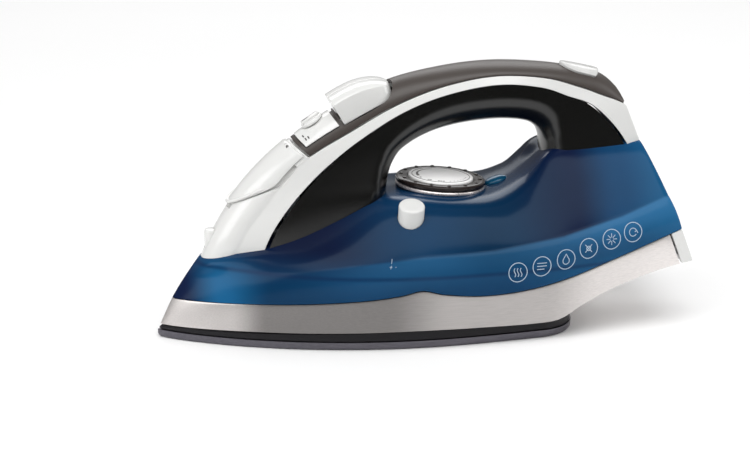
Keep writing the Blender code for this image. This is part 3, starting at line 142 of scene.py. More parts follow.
def rail(*knots):
    """A smooth curve through knots (x, value), as a function of x, with each slope from the two neighbours."""
    xs = [k[0] for k in knots]
    ys = [k[1] for k in knots]
    last = len(xs) - 1
    slopes = []
    for i in range(last + 1):
        a, b = max(i - 1, 0), min(i + 1, last)
        slopes.append((ys[b] - ys[a]) / (xs[b] - xs[a]))

    def at(x):
        i = 0
        while i < last - 1 and x > xs[i + 1]:
            i += 1
        step = xs[i + 1] - xs[i]
        t = (x - xs[i]) / step
        if t < 0 or t > 1:
            edge = 0 if t < 0 else 1
            return ys[i + edge] + slopes[i + edge] * (x - xs[i + edge])
        h00 = (1 + 2 * t) * (1 - t) ** 2
        h10 = t * (1 - t) ** 2
        h01 = t * t * (3 - 2 * t)
        h11 = t * t * (t - 1)
        return h00 * ys[i] + h10 * step * slopes[i] + h01 * ys[i + 1] + h11 * step * slopes[i + 1]

    return at


def spread(start, end, count):
    """count + 1 even values from start to end."""
    return [start + (end - start) * i / count for i in range(count + 1)]


def solve(function, target, low, high):
    """The argument between low and high at which a rising function reaches target."""
    for _ in range(40):
        middle = (low + high) / 2
        if function(middle) < target:
            low = middle
        else:
            high = middle
    return (low + high) / 2


def rear_x(z):
    """Where the leaning rear face stands at height z."""
    return LENGTH - (z - REAR_FOOT_Z) * math.tan(REAR_LEAN)


def ogive(x, nose, half, rear_half, rear):
    """Half width of a boat-shaped outline, widest at WIDEST_X."""
    if x < WIDEST_X:
        return half * math.sin(math.pi / 2 * max(0.0, (x - nose) / (WIDEST_X - nose)) ** 0.8)
    return half - (half - rear_half) * ((x - WIDEST_X) / (rear - WIDEST_X)) ** 1.7


class BodyRail:
    """One lengthwise line of the body: its nose, its height along x, and its half width along x."""

    def __init__(self, nose, rear_z, height, half):
        self.nose = nose
        self.rear = rear_x(rear_z)
        self.height = height
        self.half = half

    def point(self, share):
        x = self.nose + (self.rear - self.nose) * share
        return Vector((x, -max(0.0, self.half(x)) if share > 0 else 0.0, self.height(x)))


def body_rails():
    """Hem, seam, shoulder, brow and crest, from the bottom of the skirt to the middle of the top."""
    hem_rear, seam_rear, shoulder_rear, brow_rear, crest_rear = REAR_FOOT_Z, 57.5, 76.0, 101.0, 102.5
    return [
        BodyRail(
            1.6,
            hem_rear,
            rail((1.6, 7.4), (42, 9.4), (73, 10.3), (105, 10.9), (138, 11.3), (172, 10.9), (207, 10.6),
                 (219, 12), (231, 18.5), (245, 25), (258, 29.5), (279, 35), (LENGTH, hem_rear)),
            lambda x: ogive(x, 1.6, HALF_WIDTH - 4.0, 42.5, LENGTH),
        ),
        BodyRail(
            8.6,
            seam_rear,
            rail((8.6, 22.2), (42, 25), (84, 28.4), (112, 31), (128, 33.3), (139, 35.6), (150, 33),
                 (172, 30.5), (196, 31.4), (220, 35.6), (245, 43), (rear_x(seam_rear), seam_rear)),
            lambda x: ogive(x, 8.6, HALF_WIDTH, 44.0, rear_x(seam_rear)),
        ),
        BodyRail(
            15.2,
            shoulder_rear,
            rail((15.2, 33), *SHOULDER_LINE, (rear_x(shoulder_rear), shoulder_rear)),
            lambda x: ogive(x, 15.2, HALF_WIDTH - 2.8, 40.0, rear_x(shoulder_rear)),
        ),
        BodyRail(
            22.6,
            brow_rear,
            rail((22.6, 43.5), (35, 46.5), (56, 51), (78, 57), (100, 66), (122, 75.5), (142, 77), (165, 75.5),
                 (190, 76), (204, 81.5), (212, 89.5), (218, 96), (226, 99), (240, 99.6),
                 (rear_x(brow_rear), brow_rear)),
            rail((22.6, 0), (25.5, 7), (30, 11.8), (40, 17.3), (56, 22.5), (78, 24.5), (100, 27.5), (140, 36),
                 (172, 38), (196, 33), (210, 26), (218, 22.5), (rear_x(brow_rear), 19.5)),
        ),
        BodyRail(
            24.0,
            crest_rear,
            rail((24, 45.2), (56, 53.5), (100, 70), (122, 78), (150, 78.5), (175, 77), (192, 78.6), (204, 84),
                 (214, 91.5), (222, 98), (232, 100.5), (rear_x(crest_rear), crest_rear)),
            lambda x: 0.0,
        ),
    ]


BODY = body_rails()


def body_surface(u, v):
    """A point of the body's right side: u runs from the nose (0) to the rear (1), v over the rails (0 to 4)."""
    share = u**1.5
    points = [line.point(share) for line in BODY]
    beyond = points[3].copy()
    beyond.y = -beyond.y
    points.append(beyond)
    along = [0.0]
    for a, b in zip(points, points[1:]):
        along.append(along[-1] + max((b - a).length, 0.05))
    i = min(int(v), 3)
    place = along[i] + (along[i + 1] - along[i]) * (v - i)
    x, y, z = (rail(*zip(along, [p[axis] for p in points]))(place) for axis in range(3))
    on_plane = share == 0 or v == 4
    return Vector((x, 0.0 if on_plane else min(y, 0.0), z))


# Each row is one station of the handle, from the nose end to the rear: top, upper and lower edge of the white
# band, underside, then the half widths at the band's two edges and at the side, and the underside's rounding.
HANDLE_KEYS = (
    ((21, 36), (37, 34), (53, 38), (118.5, 34), 13.2, 20.0, 22.5, 13),
    ((32, 60), (47, 58), (62, 60), (127.5, 62), 14.6, 20.0, 23.0, 13),
    ((45, 80), (58.5, 74.5), (73, 76), (129.5, 80), 15.2, 19.5, 23.0, 13),
    ((60, 96.5), (71, 89.5), (84, 88), (130.8, 88), 15.4, 18.8, 21.5, 13),
    ((76, 109.6), (84.5, 102.3), (95, 98), (133.5, 95.5), 15.5, 18.3, 20.0, 13.5),
    ((100, 125.2), (107, 115), (112, 111), (139.5, 103), 15.5, 18.0, 18.5, 14),
    ((130, 139.8), (134, 129.3), (136, 125.2), (153, 110), 15.5, 17.7, 17.8, 15),
    ((160, 146.3), (161, 138.6), (161, 134.2), (169.5, 114.2), 15.3, 17.5, 17.5, 16),
    ((190, 148.6), (190, 143), (190, 138.6), (190.5, 116), 15.0, 17.3, 17.5, 16),
    ((221, 146.4), (218, 140.6), (215, 136), (207.5, 114.6), 15.0, 17.3, 17.8, 16),
    ((244, 142), (237, 134.8), (231, 130.2), (215, 111), 15.0, 17.5, 18.3, 15),
    ((256, 137.4), (250, 129.6), (243.5, 125.4), (218.2, 105), 14.5, 17.8, 19.0, 13),
    ((268, 125.5), (265.5, 122.5), (254.5, 115.5), (219, 98.5), 14.0, 18.0, 20.0, 12),
    ((281, 112), (274, 109), (264, 103), (219.5, 90.5), 14.0, 18.5, 21.0, 12),
    ((292, 90), (284, 88), (273, 85), (220.5, 80), 14.0, 19.0, 21.5, 12),
)
LAST_KEY = len(HANDLE_KEYS) - 1


def key_rail(pick):
    return rail(*[(i, pick(key)) for i, key in enumerate(HANDLE_KEYS)])


TOP_X, TOP_Z = key_rail(lambda k: k[0][0]), key_rail(lambda k: k[0][1])
UPPER_X, UPPER_Z = key_rail(lambda k: k[1][0]), key_rail(lambda k: k[1][1])
LOWER_X, LOWER_Z = key_rail(lambda k: k[2][0]), key_rail(lambda k: k[2][1])
UNDER_X, UNDER_Z = key_rail(lambda k: k[3][0]), key_rail(lambda k: k[3][1])
UPPER_HALF, LOWER_HALF = key_rail(lambda k: k[4]), key_rail(lambda k: k[5])
SIDE_HALF, UNDER_ROUND = key_rail(lambda k: k[6]), key_rail(lambda k: k[7])


def handle_surface(t, p):
    """A point of the handle's right side: t is the station, p goes over top, band, side and underside (0 to 4)."""
    top = Vector((TOP_X(t), 0, TOP_Z(t)))
    upper = Vector((UPPER_X(t), 0, UPPER_Z(t)))
    lower = Vector((LOWER_X(t), 0, LOWER_Z(t)))
    under = Vector((UNDER_X(t), 0, UNDER_Z(t)))
    side = under + (lower - under).normalized() * UNDER_ROUND(t)
    if p <= 1:
        angle = (1 - p) * math.pi / 2
        point = upper + (top - upper) * math.sin(angle)
        half = UPPER_HALF(t) * math.cos(angle)
    elif p <= 2:
        point = upper.lerp(lower, p - 1)
        half = UPPER_HALF(t) + (LOWER_HALF(t) - UPPER_HALF(t)) * (p - 1)
    elif p <= 3:
        point = lower.lerp(side, p - 2)
        half = LOWER_HALF(t) + (SIDE_HALF(t) - LOWER_HALF(t)) * (p - 2)
    else:
        angle = (p - 3) * math.pi / 2
        point = side + (under - side) * math.sin(angle)
        half = SIDE_HALF(t) * math.cos(angle)
    point.y = 0.0 if p in (0, 4) else -half
    return point


def station_at(x):
    """The handle station whose top lies at x."""
    return solve(TOP_X, x, 0.0, float(LAST_KEY))


def row_at(t, y):
    """The row over the top of the handle that lies y from its middle."""
    return math.asin(min(abs(y) / UPPER_HALF(t), 1.0)) * 2 / math.pi


class Surface:
    """The right half of a curved surface over (a, b), with facing -1 where a and b run the other way round."""

    def __init__(self, point, last_a, last_b, facing):
        self.point = point
        self.last_a = last_a
        self.last_b = last_b
        self.facing = facing

    def lifted(self, a, b, height):
        """The surface's point (a, b), moved outwards by height along its normal."""
        step = 0.004
        a0, a1 = max(a - step, 0.0), min(a + step, self.last_a)
        b0, b1 = max(b - step, 0.0), min(b + step, self.last_b)
        along = self.point(a1, b) - self.point(a0, b)
        across = self.point(a, b1) - self.point(a, b0)
        normal = along.cross(across).normalized() * self.facing
        point = self.point(a, b)
        if a == 0 and self.facing > 0:
            normal = Vector((-NOSE_MITRE, 0.0, 0.0))
        elif abs(point.y) < 1e-6:
            flat = Vector((normal.x, 0.0, normal.z)).normalized()
            normal = flat / max(normal.dot(flat), 0.45)
        return point + normal * height


OUTSIDE = Surface(body_surface, 1.0, 4.0, 1)
HANDLE = Surface(handle_surface, float(LAST_KEY), 4.0, -1)


# ---------------------------------------------------------------- modelling helpers


def world(point):
    return Vector(((point[0] - LENGTH / 2) * MM, point[1] * MM, point[2] * MM))


def deselect():
    if bpy.context.object and bpy.context.object.mode != "OBJECT":
        bpy.ops.object.mode_set(mode="OBJECT")
    bpy.ops.object.select_all(action="DESELECT")


def take(piece):
    """Makes a piece the only one that operators act on."""
    deselect()
    piece.select_set(True)
    bpy.context.view_layer.objects.active = piece


def apply(piece, kind, **settings):
    """Adds one modifier with its settings and applies it."""
    take(piece)
    step = piece.modifiers.new(kind.title(), kind)
    for name, value in settings.items():
        setattr(step, name, value)
    bpy.ops.object.modifier_apply(modifier=step.name)


def soften(piece, width, segments=2, angle=40.0):
    """Rounds the sharp edges of a moulding by width in mm."""
    apply(piece, "BEVEL", width=width * MM, segments=segments, limit_method="ANGLE",
          angle_limit=math.radians(angle), use_clamp_overlap=True)


def smooth(piece, angle=34.0):
    take(piece)
    bpy.ops.object.shade_smooth_by_angle(angle=math.radians(angle))


def tidy_mesh(piece, distance=0.004):
    """Merges doubles and turns all faces outwards."""
    take(piece)
    bpy.ops.object.mode_set(mode="EDIT")
    bpy.ops.mesh.select_all(action="SELECT")
    bpy.ops.mesh.remove_doubles(threshold=distance * MM)
    bpy.ops.mesh.normals_make_consistent(inside=False)
    bpy.ops.object.mode_set(mode="OBJECT")


def mesh_piece(name, points, faces, mirrored=False):
    """A piece from design points and faces, with its mirror image joined on at y = 0 if asked."""
    work = bmesh.new()
    corners = [work.verts.new(world(p)) for p in points]
    for face in faces:
        ring = list(dict.fromkeys(face))
        if len(ring) > 2:
            work.faces.new([corners[i] for i in ring])
    if mirrored:
        copy = bmesh.ops.duplicate(work, geom=work.verts[:] + work.edges[:] + work.faces[:])["geom"]
        twins = [g for g in copy if isinstance(g, bmesh.types.BMVert)]
        bmesh.ops.scale(work, vec=(1, -1, 1), verts=twins)
        bmesh.ops.reverse_faces(work, faces=[g for g in copy if isinstance(g, bmesh.types.BMFace)])
    bmesh.ops.remove_doubles(work, verts=work.verts[:], dist=4e-6)
    bmesh.ops.dissolve_degenerate(work, edges=work.edges[:], dist=4e-6)
    bmesh.ops.recalc_face_normals(work, faces=work.faces[:])
    mesh = bpy.data.meshes.new(name)
    work.to_mesh(mesh)
    work.free()
    made = bpy.data.objects.new(name, mesh)
    bpy.context.scene.collection.objects.link(made)
    return made


def grid_faces(rows, columns, layer):
    """The faces of two grids of points, one layer behind the other, without their rims."""
    faces = []
    for i in range(rows - 1):
        for j in range(columns - 1):
            quad = [i * columns + j, (i + 1) * columns + j, (i + 1) * columns + j + 1, i * columns + j + 1]
            faces += [quad, [q + layer for q in reversed(quad)]]
    return faces


def grid_edges(rows, columns):
    """The points along the four edges of a grid: its near side, far side, start and end."""
    return [[i * columns for i in range(rows)], [i * columns + columns - 1 for i in range(rows)],
            list(range(columns)), [(rows - 1) * columns + j for j in range(columns)]]


def slab(name, points, rows, columns, edges, mirrored=False):
    """A piece from two grids of points, one behind the other, joined by walls along the edges given."""
    layer = rows * columns
    walls = [[a, b, b + layer, a + layer] for edge in edges for a, b in zip(edge, edge[1:])]
    return mesh_piece(name, points, grid_faces(rows, columns, layer) + walls, mirrored)


def moulded_wall(name, surface, a_values, b_values, outside, inside):
    """A wall that follows a surface, both sides. outside and inside are heights above it over (a, b)."""
    rows, columns = len(a_values), len(b_values)
    points = [surface.lifted(a, b, outside(a, b)) for a in a_values for b in b_values]
    points += [surface.lifted(a, b, inside(a, b)) for a in a_values for b in b_values]
    edges = [edge for edge in grid_edges(rows, columns) if not all(abs(points[e].y) < 1e-6 for e in edge)]
    return slab(name, points, rows, columns, edges, True)


def stacked(name, rings):
    """A closed solid through rings of equal point counts, with its first and last ring capped."""
    count = len(rings[0])
    points = [p for ring in rings for p in ring]
    faces = [list(range(count))[::-1], [len(points) - count + i for i in range(count)]]
    for level in range(len(rings) - 1):
        for i in range(count):
            a, b = level * count + i, level * count + (i + 1) % count
            faces.append([a, b, b + count, a + count])
    return mesh_piece(name, points, faces)


def axes_matrix(base, axis, forward=(1, 0, 0)):
    """A matrix in metres whose Z follows axis and whose X leans towards forward."""
    up = Vector(axis).normalized()
    along = Vector(forward) - up * Vector(forward).dot(up)
    along.normalize()
    across = up.cross(along)
    turn = Matrix((along, across, up)).transposed().to_4x4()
    return Matrix.Translation(world(base)) @ turn


def turned(name, base, axis, profile, sides=64, stretch=1.0):
    """A turned form from (radius, height) pairs: one circle is drawn out and resized, ring by ring, about axis."""
    least = 0.004
    deselect()
    radius, height = max(profile[0][0], least), profile[0][1]
    bpy.ops.mesh.primitive_circle_add(vertices=sides, radius=radius * MM, location=(0, 0, 0))
    made = bpy.context.object
    made.name = name
    made.data.name = name
    bpy.ops.object.mode_set(mode="EDIT")
    bpy.ops.mesh.select_all(action="SELECT")
    bpy.ops.transform.translate(value=(0, 0, height * MM))
    for next_radius, next_height in profile[1:]:
        bpy.ops.mesh.extrude_edges_move(TRANSFORM_OT_translate={"value": (0, 0, (next_height - height) * MM)})
        share = max(next_radius, least) / radius
        bpy.ops.transform.resize(value=(share, share, 1), center_override=(0, 0, next_height * MM))
        radius, height = max(next_radius, least), next_height
    bpy.ops.object.mode_set(mode="OBJECT")
    made.data.transform(axes_matrix(base, axis) @ Matrix.Diagonal((1, stretch, 1, 1)))
    tidy_mesh(made, 0.02)
    return made


def rod(name, start, end, radius, sides=32):
    start, end = Vector(start), Vector(end)
    return turned(name, start, end - start, [(0, 0), (radius, 0), (radius, (end - start).length),
                                             (0, (end - start).length)], sides)


def block(name, centre, size, axis_x=(1, 0, 0), up=(0, 0, 1), bevel=0.0):
    """A box with sides in mm, its corners rounded by bevel, turned so that z follows up and x leans to axis_x."""
    deselect()
    bpy.ops.mesh.primitive_cube_add(size=1, location=(0, 0, 0))
    made = bpy.context.object
    made.name = name
    made.data.name = name
    made.data.transform(axes_matrix(centre, up, axis_x) @ Matrix.Diagonal([s * MM for s in size] + [1]))
    if bevel:
        soften(made, bevel, 3)
    return made


def cut(target, tool):
    """Cuts a tool out of target. The tool is used up."""
    apply(target, "BOOLEAN", object=tool, operation="DIFFERENCE", solver="EXACT")
    bpy.data.objects.remove(tool)


def join(first, *others):
    """Joins pieces into the first one."""
    deselect()
    for piece in others:
        piece.select_set(True)
    first.select_set(True)
    bpy.context.view_layer.objects.active = first
    bpy.ops.object.join()
    return first


def mirror_across(piece):
    """Turns a right-hand piece into its left-hand twin."""
    piece.data.transform(Matrix.Scale(-1, 4, (0, 1, 0)))
    piece.data.flip_normals()


def fit(piece, body, look, slot, *nodes):
    """Gives a finished piece its material and its place on a body, standing for CAD nodes if named."""
    piece.data.materials.clear()
    piece.data.materials.append(finish(look))
    if nodes:
        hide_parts(*nodes)
    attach(piece, body)


# ---------------------------------------------------------------- materials


def linear(code):
    """An sRGB hex colour as linear red, green and blue."""
    values = [int(code[i:i + 2], 16) / 255 for i in (1, 3, 5)]
    return tuple(v / 12.92 if v <= 0.04045 else ((v + 0.055) / 1.055) ** 2.4 for v in values)


def add(tree, kind, links=None, **settings):
    """Adds a node with its settings. links gives inputs by name or number, each a socket to join or a value."""
    made = tree.nodes.new(kind)
    for name, value in settings.items():
        setattr(made, name, value)
    for name, value in (links or {}).items():
        if isinstance(value, bpy.types.NodeSocket):
            tree.links.new(value, made.inputs[name])
        else:
            made.inputs[name].default_value = value
    return made


def new_finish(name, roughness, metallic=0.0, coat=0.0, ior=1.5):
    """A material with its shader's plain values set, and its node tree and object coordinates."""
    made = bpy.data.materials.new(name)
    made.use_nodes = True
    tree = made.node_tree
    shader = tree.nodes["Principled BSDF"]
    shader.inputs["Roughness"].default_value = roughness
    shader.inputs["Metallic"].default_value = metallic
    shader.inputs["Coat Weight"].default_value = coat
    shader.inputs["Coat Roughness"].default_value = 0.03
    if metallic < 0.5:
        shader.inputs["IOR"].default_value = ior
    place = add(tree, "ShaderNodeTexCoord").outputs["Object"]
    return made, tree, shader, place


def noise(tree, place, size, detail=2.0, stretch=(1, 1, 1)):
    """Noise with features of a real size in mm, longer along the axes whose stretch is small."""
    mapped = add(tree, "ShaderNodeMapping", {"Vector": place, "Scale": stretch}).outputs["Vector"]
    return add(tree, "ShaderNodeTexNoise", {"Vector": mapped, "Scale": 1000.0 / size, "Detail": detail}).outputs["Fac"]


def spread_to(tree, fac, low, high):
    """A factor between 0 and 1 turned into a value between low and high."""
    return add(tree, "ShaderNodeMapRange", {"Value": fac, "From Min": 0.25, "From Max": 0.75,
                                            "To Min": low, "To Max": high}).outputs["Result"]


def two_tone(tree, fac, first, second):
    return add(tree, "ShaderNodeMix", {"Factor": fac, 6: (*first, 1), 7: (*second, 1)}, data_type="RGBA").outputs[2]


def relief(tree, shader, height, depth):
    """A bump of real depth in mm from a height between 0 and 1."""
    bump = add(tree, "ShaderNodeBump", {"Height": height, "Strength": 1.0, "Distance": depth * MM})
    tree.links.new(bump.outputs["Normal"], shader.inputs["Normal"])


def moulded_plastic(name, colour, shade, roughness, grain=0.6, depth=0.004, coat=0.0, gloss=0.5):
    """Injection-moulded ABS: even colour with a faint cloud, and the fine texture of the mould."""
    made, tree, shader, place = new_finish(name, roughness, coat=coat, ior=1.53)
    shader.inputs["Specular IOR Level"].default_value = gloss
    cloud = noise(tree, place, 38.0)
    tree.links.new(two_tone(tree, cloud, colour, shade), shader.inputs["Base Color"])
    fine = noise(tree, place, grain, 3.0)
    tree.links.new(spread_to(tree, fine, roughness * 0.9, roughness * 1.12), shader.inputs["Roughness"])
    relief(tree, shader, fine, depth)
    return made


def brushed_metal(name, colour, shade, roughness, metallic, grain, stretch, depth):
    """Metal or metallic coating with fine parallel scratches along the axis whose stretch is smallest."""
    made, tree, shader, place = new_finish(name, roughness, metallic)
    lines = noise(tree, place, grain, 4.0, stretch)
    tree.links.new(two_tone(tree, lines, colour, shade), shader.inputs["Base Color"])
    tree.links.new(spread_to(tree, lines, roughness * 0.8, roughness * 1.3), shader.inputs["Roughness"])
    relief(tree, shader, lines, depth)
    return made


def ramp(tree, fac, stops, interpolation="EASE"):
    """A run of (position, colour) stops over a factor."""
    made = add(tree, "ShaderNodeValToRGB", {"Fac": fac})
    made.color_ramp.interpolation = interpolation
    stones = made.color_ramp.elements
    while len(stones) < len(stops):
        stones.new(0.5)
    for stone, (position, tint) in zip(stones, stops):
        stone.position = position
        stone.color = (*tint, 1)
    return made.outputs["Color"]


def tinted_tank():
    """Tinted polycarbonate with a polished skin. Its colour has painted shade over the hollow behind the nose and where
    the handle's foot stands behind it, painted light low down where the pale tub is close to the wall and at the heel,
    a painted highlight below the crease along the shoulder, and the tub's rim as a dark line."""
    made, tree, shader, place = new_finish("tank_polycarbonate", 0.17, ior=1.58)
    shader.inputs["Specular IOR Level"].default_value = 0.11
    shader.inputs["Specular Tint"].default_value = (0.62, 0.82, 1.0, 1.0)
    colours = bpy.context.scene.iron_colours
    nose, middle, heel = tuple(colours.tank_nose), tuple(colours.tank), tuple(colours.tank_heel)
    parts = add(tree, "ShaderNodeSeparateXYZ", {"Vector": place}).outputs
    along = add(tree, "ShaderNodeMapRange", {"Value": parts["X"], "From Min": -LENGTH / 2 * MM,
                                             "From Max": LENGTH / 2 * MM}).outputs["Result"]
    # Painted shade along the upper wall, darkest behind the nose and around the handle's foot
    upper = ramp(tree, along, [(0.03, toned(nose, 0.8)), (0.3, toned(nose, 0.7)), (0.47, toned(middle, 0.75)),
                               (0.62, toned(middle, 0.5)), (0.77, toned(nose, 0.8)), (0.86, middle),
                               (0.97, toned(heel, 0.9))])
    # Painted light along the lower wall, where light comes through low down and at the heel
    lower = ramp(tree, along, [(0.05, nose), (0.11, heel), (0.2, toned(middle, 0.75)), (0.42, toned(middle, 0.95)),
                               (0.62, middle), (0.9, heel)])
    # The painted light low down takes over from the painted shade above it, by height
    low = add(tree, "ShaderNodeMapRange", {"Value": parts["Z"], "From Min": 0.056, "From Max": 0.036},
              interpolation_type="SMOOTHSTEP").outputs["Result"]
    both = add(tree, "ShaderNodeMix", {"Factor": low, 6: upper, 7: lower}, data_type="RGBA").outputs[2]
    # The height of the crease along the shoulder, and a painted highlight on the wall where it swells out below that
    crease = ramp(tree, along, [(x / LENGTH, (z / 100,) * 3) for x, z in (*SHOULDER_LINE, (282, 76))],
                  "LINEAR")
    below = add(tree, "ShaderNodeMath", {0: crease, 1: 0.1, 2: add(tree, "ShaderNodeMath", {
        0: parts["Z"], 1: -1.0}, operation="MULTIPLY").outputs[0]}, operation="MULTIPLY_ADD").outputs[0]
    highlight_starts = add(tree, "ShaderNodeMapRange", {"Value": below, "From Min": -0.0006, "From Max": 0.0012},
                 interpolation_type="SMOOTHSTEP").outputs["Result"]
    highlight_fades = add(tree, "ShaderNodeMapRange", {"Value": below, "From Min": 0.024, "From Max": 0.002},
                interpolation_type="SMOOTHSTEP").outputs["Result"]
    # How strong the painted highlight under the crease is along the iron, stronger towards the heel
    reach = ramp(tree, along, [(0.2, (0.0,) * 3), (0.45, (0.4,) * 3), (0.6, (0.3,) * 3), (0.85, (0.75,) * 3)])
    band = add(tree, "ShaderNodeMath", {0: highlight_starts, 1: highlight_fades}, operation="MULTIPLY").outputs[0]
    band = add(tree, "ShaderNodeMath", {0: band, 1: reach}, operation="MULTIPLY").outputs[0]
    # The painted highlight's colour, mixed in under the crease
    both = add(tree, "ShaderNodeMix", {"Factor": band, 6: both, 7: (*linear("#35719f"), 1)},
               data_type="RGBA").outputs[2]
    rim = add(tree, "ShaderNodeMapRange", {"Value": parts["Z"], "From Min": 0.0405, "From Max": 0.0425},
              interpolation_type="SMOOTHSTEP").outputs["Result"]
    rim_end = add(tree, "ShaderNodeMapRange", {"Value": parts["Z"], "From Min": 0.0445, "From Max": 0.0425},
                  interpolation_type="SMOOTHSTEP").outputs["Result"]
    line = add(tree, "ShaderNodeMath", {0: rim, 1: rim_end}, operation="MULTIPLY").outputs[0]
    weak = add(tree, "ShaderNodeMath", {0: line, 1: 0.55}, operation="MULTIPLY").outputs[0]
    lined = add(tree, "ShaderNodeMix", {"Factor": weak, 6: both, 7: (*linear("#10254a"), 1)},
                data_type="RGBA").outputs[2]
    shade = spread_to(tree, noise(tree, place, 30.0), 0.94, 1.06)
    final = add(tree, "ShaderNodeVectorMath", {0: lined, "Scale": shade}, operation="SCALE").outputs[0]
    tree.links.new(final, shader.inputs["Base Color"])
    return made


def brushed_skirt():
    """Silver lacquer over brushed aluminium sheet: grains 0.25 mm apart run along the skirt. Its colour is painted
    lighter at its two ends and darker over its middle, as painted reflection."""
    made, tree, shader, place = new_finish("brushed_aluminium_skirt", 0.34, 0.8)
    base = colour("skirt")
    parts = add(tree, "ShaderNodeSeparateXYZ", {"Vector": place}).outputs
    along = add(tree, "ShaderNodeMapRange", {"Value": parts["X"], "From Min": -LENGTH / 2 * MM,
                                             "From Max": LENGTH / 2 * MM}).outputs["Result"]
    # Painted reflection along the skirt: lighter at both ends, darker over the middle
    painted_reflection_tone = ramp(tree, along, [(0.05, toned(base, 1.6)), (0.12, toned(base, 1.3)), (0.19, toned(base, 0.5)),
                              (0.4, toned(base, 0.5)), (0.53, toned(base, 1.05)), (0.7, toned(base, 1.1)),
                              (0.82, toned(base, 1.7)), (0.97, toned(base, 1.9))])
    grains = noise(tree, place, 0.5, 3.0, (0.03, 1, 1))
    shade = spread_to(tree, grains, 0.92, 1.08)
    final = add(tree, "ShaderNodeVectorMath", {0: painted_reflection_tone, "Scale": shade}, operation="SCALE").outputs[0]
    tree.links.new(final, shader.inputs["Base Color"])
    tree.links.new(spread_to(tree, grains, 0.3, 0.4), shader.inputs["Roughness"])
    relief(tree, shader, grains, 0.0006)
    return made


def clear_lens(name, colour, roughness=0.05, transmission=0.35):
    """A tinted acrylic lens, polished, that lets some light in."""
    made, tree, shader, place = new_finish(name, roughness, ior=1.49)
    shader.inputs["Specular IOR Level"].default_value = 0.35
    shader.inputs["Transmission Weight"].default_value = transmission
    tree.links.new(two_tone(tree, noise(tree, place, 6.0), colour, tuple(c * 0.7 for c in colour)),
                   shader.inputs["Base Color"])
    return made


FINISHES = {}


def finish(name):
    """Each material, made once, when the first piece asks for it."""
    if name not in FINISHES:
        FINISHES[name] = MAKERS[name]()
    return FINISHES[name]


def colour(name):
    """One of the colours that a user sets."""
    return tuple(getattr(bpy.context.scene.iron_colours, name))


def toned(value, share):
    """A colour made darker, or lighter where share is above 1."""
    return tuple(c * share for c in value)


MAKERS = {
    "brushed_skirt": brushed_skirt,
    # Die-cast aluminium with a grey sliding coat.
    "sole_coat": lambda: brushed_metal(
        "coated_sole_aluminium", linear("#6d6b72"), linear("#55535b"), 0.34, 0.7, 0.9, (0.05, 1, 1), 0.004),
    "cast": lambda: brushed_metal(
        "die_cast_aluminium", linear("#a5a5a5"), linear("#8c8c8c"), 0.55, 0.9, 1.4, (1, 1, 1), 0.03),
    "steel": lambda: brushed_metal(
        "zinc_plated_steel", linear("#c8c8c8"), linear("#adadaf"), 0.3, 1.0, 0.6, (1, 1, 0.1), 0.004),
    "chrome": lambda: brushed_metal(
        "satin_chrome_plate", linear("#ece4e2"), linear("#ddd5d3"), 0.28, 0.55, 2.0, (1, 1, 1), 0.0008),
    # Black phenolic moulding that stands heat: matt, with a fine grit.
    "heat_black": lambda: moulded_plastic("phenolic_heat_black", linear("#1c1a1f"), linear("#151317"), 0.45, 0.5, 0.008,
                                          gloss=0.25),
    "white": lambda: moulded_plastic("white_gloss_abs", colour("white"), toned(colour("white"), 0.95), 0.2, 0.9,
                                     0.002, 0.25),
    "gloss_black": lambda: moulded_plastic("piano_black_abs", linear("#0e0e0c"), linear("#0a0a09"), 0.24, 1.2,
                                           0.0015, gloss=0.6),
    "grip": lambda: moulded_plastic("grip_soft_touch", colour("grip"), toned(colour("grip"), 0.85), 0.42, 0.35, 0.01),
    "dial_dark": lambda: moulded_plastic("dial_brown_black", linear("#2e2523"), linear("#231c1a"), 0.25, 0.5, 0.003),
    "dial_pale": lambda: moulded_plastic("dial_disc_satin", linear("#ffffff"), linear("#fbfaf8"), 0.3, 0.8, 0.002,
                                         0.3),
    "grey": lambda: moulded_plastic("acetal_grey", linear("#9b9da1"), linear("#8c8e92"), 0.45),
    "milky": lambda: moulded_plastic("natural_polypropylene", linear("#cfd6dc"), linear("#bcc5cd"), 0.35),
    "rubber": lambda: moulded_plastic("epdm_rubber", linear("#2a2a2a"), linear("#222222"), 0.7, 0.4, 0.01),
    "lead": lambda: moulded_plastic("silicone_lead_sleeve", linear("#b0634a"), linear("#9c5640"), 0.5),
    "ink_dark": lambda: moulded_plastic("printed_dark_ink", linear("#35302e"), linear("#2c2827"), 0.5),
    "ink_pale": lambda: moulded_plastic("printed_silver_ink", linear("#b9cbdc"), linear("#a8bccf"), 0.35),
    "tank": tinted_tank,
    "teal_lens": lambda: clear_lens("teal_acrylic", linear("#0b5a80"), 0.12, 0.15),
    "white_lens": lambda: clear_lens("opal_acrylic", linear("#eeeeec"), 0.15, 0.1),
    "lamp": lambda: clear_lens("neon_lamp_glass", linear("#d8a58a"), 0.03, 0.8),
}


# ---------------------------------------------------------------- sole and shield


def plan_outline(inset, z, nose=0.0, heel=SOLE_LENGTH, half=SOLE_HALF, steps=70):
    """A closed outline of the sole's shape, drawn in by inset all round. z is a height, or a function of x."""
    height = z if callable(z) else lambda x: z
    tip = nose + 1.9 * inset
    end = heel - inset
    side = half - inset
    corner = 26.0
    right = []
    for share in spread(0, 1, steps):
        x = tip + (end - corner - tip) * share**1.5
        right.append((x, ogive(x, tip, side, side - 8.0, end)))
    start_x, start_half = right[-1]
    for angle in spread(0, math.pi / 2, 24)[1:]:
        right.append((start_x + corner * math.sin(angle), start_half * max(math.cos(angle), 0.0) ** 0.55))
    ring = [Vector((x, -half_width, height(x))) for x, half_width in right[:-1]]
    ring.append(Vector((end, 0, height(end))))
    ring += [Vector((x, half_width, height(x))) for x, half_width in reversed(right[1:-1])]
    return ring


